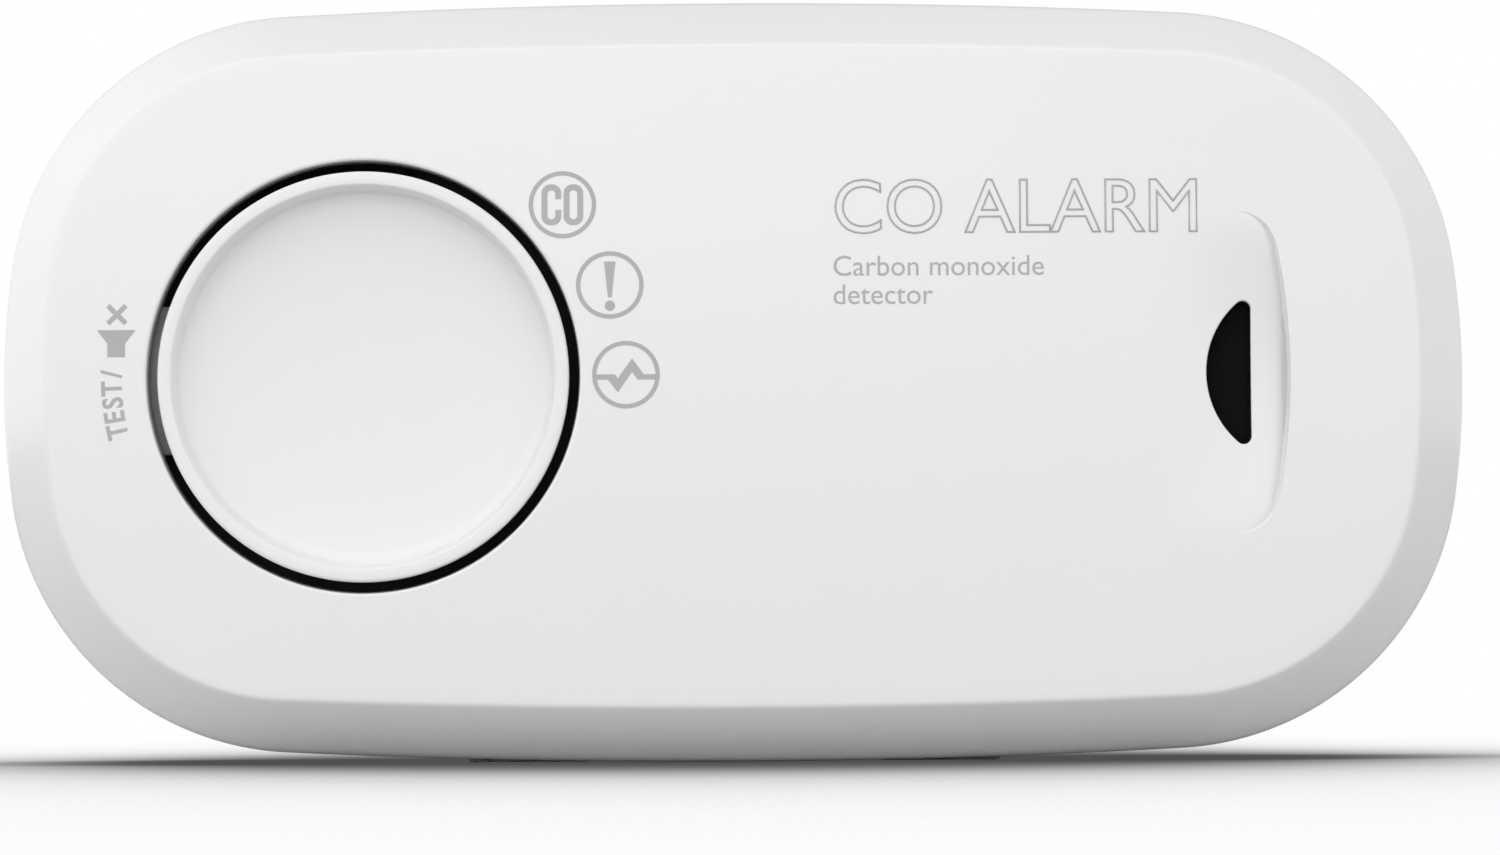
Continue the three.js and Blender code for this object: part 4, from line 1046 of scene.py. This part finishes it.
def sleeved_can():
    """A dark sleeve with a pale stripe down one side, and bare aluminium on the end."""
    material = skin_material("sleeved_can", CAN_SLEEVE, 0.38, 2000, 0.000008, 0.2, 0.1)
    tree = material.node_tree
    axes = in_box(tree)
    end = maths(tree, "LESS_THAN", axes["Y"], CAN_END)
    paint_over(material, maths(tree, "LESS_THAN", axes["X"], STRIPE_WIDTH), CAN_STRIPE)
    paint_over(material, end, CAN)
    plate(material, end)
    return material


recoat(["microcontroller", "amplifier_chip"], chip_epoxy(), 0.12)
recoat(["boost_inductor"], wound_ferrite(), 0.1)
recoat(["capacitor"], sleeved_can(), 0.08)

# ------------------------------------------------------------------------------
# Gas sensor
# A round electrochemical cell in black plastic under a pressed steel cap with a small air hole. A foam
# ring seals it to the cover, behind a fine black screen glued over the vent.
# ------------------------------------------------------------------------------

NICKEL = ((0.62, 0.6, 0.56), (0.4, 0.37, 0.33))
CLOTH = (0.004, 0.004, 0.004)
FOAM = (0.02, 0.02, 0.02)
THREAD = 2600
PORE_SCALE = 2200


def woven_cloth():
    """Fine black cloth: threads that cross, raised and sunk in turn."""
    material = skin_material("vent_cloth", CLOTH, 0.9, 5000, 0.0001, 0.3, 0.1)
    tree = material.node_tree
    tree.nodes["Principled BSDF"].inputs["Specular IOR Level"].default_value = 0.15
    place = add_node(tree, "TexCoord").outputs["Object"]
    across, up = (
        add_node(tree, "TexWave", {"Vector": place, "Scale": THREAD}, bands_direction=axis).outputs["Fac"]
        for axis in "XZ"
    )
    emboss(material, maths(tree, "MULTIPLY", across, up), 0.00005)
    return material


def cell_foam():
    """Closed-cell foam with small open pores on its cut faces."""
    material = skin_material("gasket_foam", FOAM, 0.9, 3000, 0.0001, 0.4, 0.05)
    tree = material.node_tree
    place = add_node(tree, "TexCoord").outputs["Object"]
    pores = add_node(tree, "TexVoronoi", {"Vector": place, "Scale": PORE_SCALE}).outputs["Distance"]
    emboss(material, pores, 0.00015)
    return material


nickel = metal_material("nickelled_steel", NICKEL, 0.2)
recoat(["sensor_cell"], black_plastic, 0.1)
recoat(["sensor_cap"], nickel, 0.12)
recoat(["sensor_gasket"], cell_foam(), 0.15)
recoat(["vent_screen"], woven_cloth(), 0.05)

# ------------------------------------------------------------------------------
# Rear housing
# The back half of the case, moulded in white plastic with a finer, duller skin than the cover. Its back
# holds the battery bay, two keyholes for wall screws, a thumb notch and the recesses of four case screws.
# ------------------------------------------------------------------------------

REAR_COLOUR = (0.8, 0.8, 0.795)
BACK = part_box("rear_housing")[1][1] / MM
PARTING_GAP = 0.15
TAPER = 2.3
BACK_EDGE = 1.2
HOUSING_WALL = 2.0
INNER_BACK = BACK - HOUSING_WALL
LIP_DEPTH = 2.0
PAD_X = 17.0
PAD_HALF_WIDTH = 5.0
PAD_FRONT = -4.4
PAD_BACK = 13
PAD_TOP = -28
BAY_X = 29.0
BAY_Z = 15.3
BAY_FLOOR = 0.6
BAY_WALL = 1.8
DOOR_X = 30.0
DOOR_TOP = 17.2
DOOR_THICK = 1.8
DOOR_GAP = 0.3
HINGE_Z = -16.6
HINGE_Y = BACK - DOOR_THICK
HINGE_ROOM = DOOR_THICK + 0.25
HINGE_BORE = 1.15
HINGE_FOOT = HINGE_Z - 3.3
LATCH_HALF_WIDTH = 7
CELL_Z = 7.55
CASE_SCREWS = [(x, z) for z in (20, -20) for x in (-46, 46)]
SCREW_SEAT = 9.0
SCREW_HEAD = 3.1
SCREW_BORE = 1.6
POST_RADIUS = 3.8
COVER_POST = 4.5
BOARD_SCREWS = [(-18, 21.6), (18, 21.6), (0, -23)]
BOARD_REST = -1.25
BOARD_POST = 2.8
BOARD_BORE = 1.15
KEYHOLE_X = (-41.0, 41.0)
KEYHOLE_Z = 3.0
KEYHOLE_ENTRY = 4.2
KEYHOLE_SLOT = 1.95
KEYHOLE_RISE = 8.0
NOTCH_DEPTH = 2.3
NOTCH_RADIUS = 6


def stacked(levels):
    """A closed body through rings of points, with flat ends."""
    body = Moulding()
    rings = [body.ring(level) for level in levels]
    body.walls(rings)
    body.faces += [tuple(rings[0]), tuple(rings[-1])]
    return body


def loft(levels):
    """A closed body through the case's outline at several insets and depths, from front to back."""
    return stacked([(x, y, z) for x, z in outline(inset)] for inset, y in levels)


def prism(plan, front, back):
    """A flat outline given a thickness between two depths."""
    return stacked([(x, y, z) for x, z in plan] for y in (front, back))


def rod(radius, front, back, x, z, sides=48):
    return prism(circle(radius, sides, x, z), front, back)


def cross_rod(radius, reach, sides):
    """A rod from left to right on the hinge's axis."""
    return stacked([(x, HINGE_Y + a, HINGE_Z + b) for a, b in circle(radius, sides)] for x in (-reach, reach))


def block(low, high, edge=0.0):
    body = Moulding()
    box_shell(body, low, high, edge)
    return body


def discard(holder):
    used = holder.data
    bpy.data.objects.remove(holder)
    bpy.data.meshes.remove(used)


def joint_cut(target, tools, operation):
    """Joins tools to a body, or cuts them away, and keeps the result as the body's mesh."""
    for tool in tools:
        other = put("tool", tool.mesh("tool"))
        change = target.modifiers.new("change", "BOOLEAN")
        change.operation = operation
        change.solver = "MANIFOLD"
        change.object = other
        graph = bpy.context.evaluated_depsgraph_get()
        made = bpy.data.meshes.new_from_object(target.evaluated_get(graph))
        target.modifiers.clear()
        used = target.data
        target.data = made
        bpy.data.meshes.remove(used)
        discard(other)


def keyhole(x):
    """A round entry with a narrower slot above it."""
    spread = math.asin(KEYHOLE_SLOT / KEYHOLE_ENTRY)
    top = math.pi / 2
    points = arc((x, KEYHOLE_Z), KEYHOLE_ENTRY, top + spread, top + 2 * math.pi - spread, 48, True)
    return points + arc((x, KEYHOLE_Z + KEYHOLE_RISE), KEYHOLE_SLOT, 0, math.pi, 24, True)


def housing_shell():
    """The outer skin with a rounded back edge."""
    lean = TAPER / (BACK - PARTING)
    levels = [(0.25, PARTING + PARTING_GAP), (0.07, PARTING + 0.22), (0.01, PARTING + 0.4)]
    levels += [(lean * (y - PARTING), y) for y in (PARTING + 3, PARTING + 8, PARTING + 14)]
    for i in range(9):
        angle = math.pi / 2 * i / 8
        inset = TAPER - 0.1 + BACK_EDGE * (1 - math.cos(angle))
        levels.append((inset, BACK - BACK_EDGE * (1 - math.sin(angle))))
    return loft(levels)


def snap_lip():
    """The ring that stands inside the cover's edge, and the shelf it grows from."""
    rim = put("rim", prism(outline(HOUSING_WALL + 0.15), PARTING - LIP_DEPTH, PARTING + 1).mesh("rim"))
    joint_cut(rim, [prism(outline(1.0), PARTING + PARTING_GAP, PARTING + 3)], "UNION")
    joint_cut(rim, [prism(outline(3.3), PARTING - 3, PARTING + 5)], "DIFFERENCE")
    ring = Moulding()
    ring.points = [tuple((v.co - MIDDLE) / MM) for v in rim.data.vertices]
    ring.faces = [tuple(face.vertices) for face in rim.data.polygons]
    discard(rim)
    return ring


def thumb_notch():
    """A shallow oval hollow above the door."""
    turns = [math.pi / 2 - math.pi * i / 16 for i in range(1, 16)]
    curve = [(NOTCH_RADIUS * math.cos(a), -NOTCH_DEPTH * math.sin(a)) for a in turns]
    notch = Moulding()
    turned(notch, [(0, -NOTCH_DEPTH), *curve, (0, NOTCH_DEPTH)], 48)
    notch.points = [(x * 1.35, BACK + 0.9 + y, DOOR_TOP + 0.8 + z * 0.75) for x, y, z in notch.points]
    return notch


def bay_joins():
    """The walls of the battery bay and the two hinge blocks beside it."""
    low = (-BAY_X - BAY_WALL, -BAY_FLOOR - 0.4, HINGE_FOOT)
    joins = [block(low, (BAY_X + BAY_WALL, BACK - 0.5, BAY_Z + 3))]
    for side in (-1, 1):
        near, far = sorted((side * (BAY_X + 1), side * (BAY_X + 4.2)))
        joins.append(block((near, 13.4, HINGE_FOOT), (far, BACK - 0.5, HINGE_Z + 2.6)))
    return joins


def bay_cuts():
    """The space for the cells, the door, its hinge and latch, the contact slots and the thumb notch."""
    ledge = BACK - DOOR_THICK - 0.1
    wide = DOOR_X + DOOR_GAP
    latch = LATCH_HALF_WIDTH
    return [
        block((-BAY_X, BAY_FLOOR, -BAY_Z), (BAY_X, BACK + 1, BAY_Z)),
        block((-wide, ledge, HINGE_Z), (wide, BACK + 1, DOOR_TOP + DOOR_GAP)),
        cross_rod(HINGE_ROOM, wide, 48),
        block((-wide, HINGE_Y, HINGE_Z - HINGE_ROOM), (wide, BACK + 1, HINGE_Z + 0.1)),
        cross_rod(HINGE_BORE, DOOR_X + 2, 32),
        block((-latch, 11.2, 14), (latch, BACK + 1, 17.3)),
        block((-latch, 12.9, 17), (latch, 14.6, 17.9)),
        *[block((28.05, -1, z - 2), (29.05, 2, z + 2)) for z in (CELL_Z, -CELL_Z)],
        thumb_notch(),
    ]


def rear_housing():
    """The shell, hollowed, with its lip, posts, keyholes, bay and screw recesses."""
    body = put("case_back", housing_shell().mesh("case_back"))
    for x in (-PAD_X, PAD_X):
        low = (x - PAD_HALF_WIDTH, PAD_FRONT, -HALF_HEIGHT)
        joint_cut(body, [block(low, (x + PAD_HALF_WIDTH, PAD_BACK, PAD_TOP), 0.18)], "UNION")
    inner = [(HOUSING_WALL, PARTING - 1), (HOUSING_WALL, PARTING), (HOUSING_WALL + 2.1, INNER_BACK)]
    joint_cut(body, [loft(inner)], "DIFFERENCE")
    joins = [snap_lip()]
    joins += [rod(POST_RADIUS, 4, INNER_BACK + 1, x, z) for x, z in CASE_SCREWS]
    joins += [rod(BOARD_POST, BOARD_REST, INNER_BACK + 1, x, z, 32) for x, z in BOARD_SCREWS]
    joins += [block((x - 6.4, 9.6, -3), (x + 6.4, INNER_BACK + 1, 15.2)) for x in KEYHOLE_X]
    cuts = [rod(BOARD_BORE, -3, 9, x, z, 24) for x, z in BOARD_SCREWS]
    cuts += [block((x - 5.2, 10.8, -1.8), (x + 5.2, INNER_BACK, 14)) for x in KEYHOLE_X]
    cuts += [prism(keyhole(x), INNER_BACK - 1, BACK + 1) for x in KEYHOLE_X]
    for x, z in CASE_SCREWS:
        cuts += [rod(SCREW_HEAD, SCREW_SEAT, BACK + 1, x, z), rod(SCREW_BORE, 0, BACK, x, z, 32)]
        cuts.append(rod(COVER_POST, -PARTING_GAP - 5, 4, x, z))
    joint_cut(body, joins + bay_joins(), "UNION")
    joint_cut(body, bay_cuts() + cuts, "DIFFERENCE")
    return body


rear_plastic = skin_material("spark_textured_white_abs", REAR_COLOUR, 0.42, 3200, 0.00002, 0.015, 0.05)
case_back = rear_housing()
case_back.data.materials.clear()
case_back.data.materials.append(rear_plastic)
case_back.data.shade_smooth()
# Fine round edges where the mould's faces meet, with flat faces shaded flat.
soften(case_back, 0.2)
case_back.modifiers.new("flat_faces", "WEIGHTED_NORMAL").weight = 100
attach(case_back, "root")
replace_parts(case_back, "rear_housing")

# ------------------------------------------------------------------------------
# Battery contacts
# Nickelled spring steel: a bridge plate on the left, two terminal plates on the right whose tails run to
# the board, and two conical coils that press on the flat ends of the cells.
# ------------------------------------------------------------------------------

CELL_Y = 8.2
CELL_FOOT = -22.9
COIL_START = 27.7
COIL_PRESS = 0.65
COIL_TURNS = 3.5
COIL_STEPS = 160
COIL_WIDE = 4.6
COIL_NARROW = 2.6
WIRE_RADIUS = 0.38
WIRE_SIDES = 12


def contact_spring(name, side):
    """A conical coil of round wire, wound from the plate to the cell, with closed ends."""
    wire = Moulding()
    end = COIL_PRESS - CELL_FOOT
    loops = []
    for i in range(COIL_STEPS + 1):
        t = i / COIL_STEPS
        angle = 2 * math.pi * COIL_TURNS * t
        radius = COIL_WIDE + (COIL_NARROW - COIL_WIDE) * t
        x = -side * (COIL_START + (end - COIL_START) * t)
        loop = []
        for a, b in circle(WIRE_RADIUS, WIRE_SIDES):
            reach = radius + a
            loop.append((x + b, CELL_Y + reach * math.sin(angle), side * CELL_Z + reach * math.cos(angle)))
        loops.append(wire.ring(loop))
    wire.walls(loops)
    wire.cap(loops[0])
    wire.cap(loops[-1])
    coil = wire.piece(name, "root")
    coil.data.materials.append(nickel)
    return coil


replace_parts(contact_spring("upper_coil", 1), "contact_spring_upper")
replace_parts(contact_spring("lower_coil", -1), "contact_spring_lower")
recoat(["contact_bridge", "positive_terminal", "negative_terminal"], nickel, 0.1)

# ------------------------------------------------------------------------------
# Cells
# Two AA cells laid in opposite directions: a drawn steel can in a printed sleeve, black with a copper-
# coloured band round the positive end.
# ------------------------------------------------------------------------------

CELL_RADIUS = 7.1
CELL_TIP = CELL_FOOT + 50.5
SHOULDER = CELL_TIP - 1.0
CRIMP = 0.5
CRIMP_TURNS = (0.2, 0.6, 1.0, 1.4)
SLEEVE = (0.02, 0.021, 0.024)
BAND = (0.5, 0.26, 0.1)
BARE_STEEL = (0.6, 0.59, 0.57)
BAND_START = 0.7
SLEEVE_ENDS = (0.012, 0.963)


def sleeve_material(name, side):
    """Sleeve, band and bare ends, by distance from the negative end."""
    material = skin_material(name, SLEEVE, 0.34, 1500, 0.000006, 0.1, 0.1)
    tree = material.node_tree
    along = in_box(tree)["X"]
    if side < 0:
        along = maths(tree, "SUBTRACT", 1.0, along)
    band = maths(tree, "GREATER_THAN", along, BAND_START)
    foot = maths(tree, "LESS_THAN", along, SLEEVE_ENDS[0])
    bare = maths(tree, "MAXIMUM", foot, maths(tree, "GREATER_THAN", along, SLEEVE_ENDS[1]))
    paint_over(material, band, BAND)
    paint_over(material, bare, BARE_STEEL)
    plate(material, maths(tree, "MAXIMUM", band, bare))
    return material


def cell(name, side):
    """A drawn can with a rounded crimp at its foot and a raised positive tip."""
    foot = CELL_FOOT
    inner = CELL_RADIUS - CRIMP
    profile = [(0, foot + 0.25), (4.6, foot + 0.25), (5.0, foot), (6.2, foot)]
    profile += [(inner + CRIMP * math.sin(a), foot + CRIMP * (1 - math.cos(a))) for a in CRIMP_TURNS]
    profile += [(CELL_RADIUS, foot + 0.6), (CELL_RADIUS, SHOULDER - 0.6)]
    profile += [(inner + CRIMP * math.cos(a), SHOULDER - CRIMP * (1 - math.sin(a))) for a in CRIMP_TURNS]
    profile += [(6.2, SHOULDER), (6.0, SHOULDER - 0.15), (3.0, SHOULDER - 0.15), (2.75, SHOULDER)]
    profile += [(2.6, SHOULDER + 0.15), (2.6, CELL_TIP - 0.25), (2.35, CELL_TIP), (0, CELL_TIP)]
    can = Moulding()
    turned(can, profile, 72)
    can.points = [(side * y, CELL_Y + x, side * CELL_Z + z) for x, y, z in can.points]
    shown = can.piece(name, "root")
    shown.data.set_sharp_from_angle(angle=math.radians(40))
    shown.data.materials.append(sleeve_material(name + "_sleeve", side))
    return shown


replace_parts(cell("upper_cell", 1), "battery_upper")
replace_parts(cell("lower_cell", -1), "battery_lower")

# ------------------------------------------------------------------------------
# Battery door
# A flat door in the same white plastic as the rear housing, hinged along its lower edge on two moulded
# pins. A springy latch holds its upper edge, and a blank rating label lies in a shallow recess on its
# outside.
# ------------------------------------------------------------------------------

LABEL_FILM = (0.6, 0.6, 0.605)
LABEL_INK = (0.09, 0.09, 0.095)
# How far from the middle the frame's outer and inner edges lie, in widths and heights of the label.
LABEL_FRAME = ((0.48, 0.455), (0.47, 0.433))


def label_film():
    """Silver-grey film with one thin printed frame."""
    material = skin_material("label_film", LABEL_FILM, 0.4, 4000, 0.000004, 0.05, 0.1)
    tree = material.node_tree
    place = add_node(tree, "TexCoord").outputs["Generated"]
    centred = vector_maths(tree, "SUBTRACT", place, (0.5, 0.5, 0.5))[0]
    mirrored = vector_maths(tree, "ABSOLUTE", centred)[0]
    axes = add_node(tree, "SeparateXYZ", {0: mirrored}).outputs
    inside = []
    for wide, high in LABEL_FRAME:
        masks = maths(tree, "LESS_THAN", axes["X"], wide), maths(tree, "LESS_THAN", axes["Z"], high)
        inside.append(maths(tree, "MULTIPLY", *masks))
    paint_over(material, maths(tree, "SUBTRACT", *inside, clamp=True), LABEL_INK)
    return material


recoat(["battery_door"], rear_plastic, 0.2)
recoat(["door_latch"], rear_plastic, 0.12)
recoat(["rating_label"], label_film(), 0.03)

# ------------------------------------------------------------------------------
# Screws
# Four long case screws driven in from the back and three short ones that hold the board, all cross-headed
# steel with bright zinc plating that handling and the driver have rubbed.
# ------------------------------------------------------------------------------

ZINC = ((0.6, 0.61, 0.63), (0.36, 0.37, 0.38))

screws = [f"case_screw_{number}" for number in range(1, 5)]
screws += [f"board_screw_{number}" for number in range(1, 4)]
recoat(screws, metal_material("zinc_plated_steel", ZINC, 0.24), 0.08)

# ------------------------------------------------------------------------------
# Floor, lights and camera
# The detector stands on a wide white table among white walls; the camera sees the table glow white, with a
# painted shadow round the detector. The wall on its left is the brightest, and two weak, soft lamps in front
# of it and above it bring out the edges.
# ------------------------------------------------------------------------------

FLOOR_REACH = 12.0
TABLE_BOUNCE = (0.6, 0.6, 0.6, 1)
SHADOW_REACH = 0.3
SHADOW_DEPTH = 7.0
SHADOW_WIDTH = 0.085
SIDE_DEPTH = 1.8
SHADOW_FLOOR = 0.08
WHITE = (1, 1, 1, 1)
ROOM_LIGHT = 0.02
WALLS = (("X", -1, 1.38), ("X", 1, 0.98), ("Y", -1, 1.03), ("Y", 1, 0.4))
LAMP_TARGET = (0, 0, 0.031)
CAMERA_X = 0.00136
CAMERA_DISTANCE = 0.42
CAMERA_HEIGHT = 0.006
CAMERA_DROP = 0.00388
CAMERA_ROLL = -0.3
SENSOR_WIDTH = 36
VIEW_WIDTH = 0.123


def by_ray(tree, others, seen, output):
    """Shows the camera one shader and lights the scene with another."""
    camera_ray = add_node(tree, "LightPath").outputs["Is Camera Ray"]
    either = add_node(tree, "MixShader", {"Fac": camera_ray, 1: others, 2: seen})
    connect(tree, tree.nodes[output], {"Surface": either.outputs["Shader"]})


def table_with_painted_shadow():
    """White glow with a painted shadow where the detector hides the sky. Other surfaces see a duller white."""
    material = bpy.data.materials.new("white_table_with_painted_shadow")
    material.use_nodes = True
    tree = material.node_tree
    tree.nodes.remove(tree.nodes["Principled BSDF"])
    # Painted shadow: the glow darkens with how much sky the detector hides, and less so towards the left and
    # right.
    sky = add_node(tree, "AmbientOcclusion", {"Distance": SHADOW_REACH}, samples=32).outputs["AO"]
    place = add_node(tree, "TexCoord").outputs["Object"]
    across = maths(tree, "ABSOLUTE", add_node(tree, "SeparateXYZ", {0: place}).outputs["X"])
    fade = {"Value": across, "From Max": SHADOW_WIDTH, "To Min": SHADOW_DEPTH, "To Max": SIDE_DEPTH}
    depth = add_node(tree, "MapRange", fade, interpolation_type="SMOOTHSTEP").outputs["Result"]
    shade = {"Value": maths(tree, "POWER", sky, depth), "To Min": SHADOW_FLOOR}
    strength = add_node(tree, "MapRange", shade).outputs["Result"]
    white = add_node(tree, "Emission", {"Strength": strength}).outputs["Emission"]
    dull = add_node(tree, "BsdfDiffuse", {"Color": TABLE_BOUNCE}).outputs["BSDF"]
    by_ray(tree, dull, white, "Material Output")
    return material


def floor():
    """A wide white table top."""
    mesh = bpy.data.meshes.new("table_top")
    corners = [(-1, -1), (1, -1), (1, 1), (-1, 1)]
    mesh.from_pydata([(x * FLOOR_REACH, y * FLOOR_REACH, 0) for x, y in corners], [], [(0, 1, 2, 3)])
    mesh.materials.append(table_with_painted_shadow())
    put("table_top", mesh)


def point_at(shown, place, target):
    shown.location = place
    shown.rotation_euler = (Vector(target) - Vector(place)).to_track_quat("-Z", "Y").to_euler()


def soft_light(name, place, size, watts):
    light = bpy.data.lights.new(name, "AREA")
    light.shape = "RECTANGLE"
    light.size, light.size_y = size
    light.energy = watts
    point_at(put(name, light), place, LAMP_TARGET)


def studio():
    """White walls round the table: brightest on the left, then in front, and dimmer on the right."""
    world = bpy.data.worlds.new("studio")
    bpy.context.scene.world = world
    world.use_nodes = True
    tree = world.node_tree
    place = add_node(tree, "TexCoord").outputs["Generated"]
    axes = add_node(tree, "SeparateXYZ", {0: place}).outputs
    total = ROOM_LIGHT
    for axis, sign, strength in WALLS:
        towards = maths(tree, "MULTIPLY", axes[axis], sign, clamp=True)
        total = maths(tree, "MULTIPLY_ADD", towards, strength, total)
    room = tree.nodes["Background"]
    room.inputs["Color"].default_value = WHITE
    connect(tree, room, {"Strength": total})
    backdrop = add_node(tree, "Background", {"Color": WHITE}).outputs["Background"]
    by_ray(tree, room.outputs["Background"], backdrop, "World Output")


floor()
studio()
soft_light("key", (-0.12, -0.6, 0.2), (0.4, 0.2), 0.2)
soft_light("overhead", (-0.03, -0.15, 0.3), (0.25, 0.15), 0.12)

camera_data = bpy.data.cameras.new("camera")
camera_data.sensor_width = SENSOR_WIDTH
camera_data.lens = SENSOR_WIDTH * CAMERA_DISTANCE / VIEW_WIDTH
camera_data.clip_start = 0.01
camera = put("camera", camera_data)
widest = (FACE + BEVEL_DEPTH) * MM
aim = (CAMERA_X, widest, MIDDLE.z - CAMERA_DROP)
point_at(camera, (CAMERA_X, widest - CAMERA_DISTANCE, CAMERA_HEIGHT), aim)
camera.rotation_euler.rotate_axis("Z", math.radians(CAMERA_ROLL))
bpy.context.scene.camera = camera
bpy.context.scene.view_settings.view_transform = "Standard"
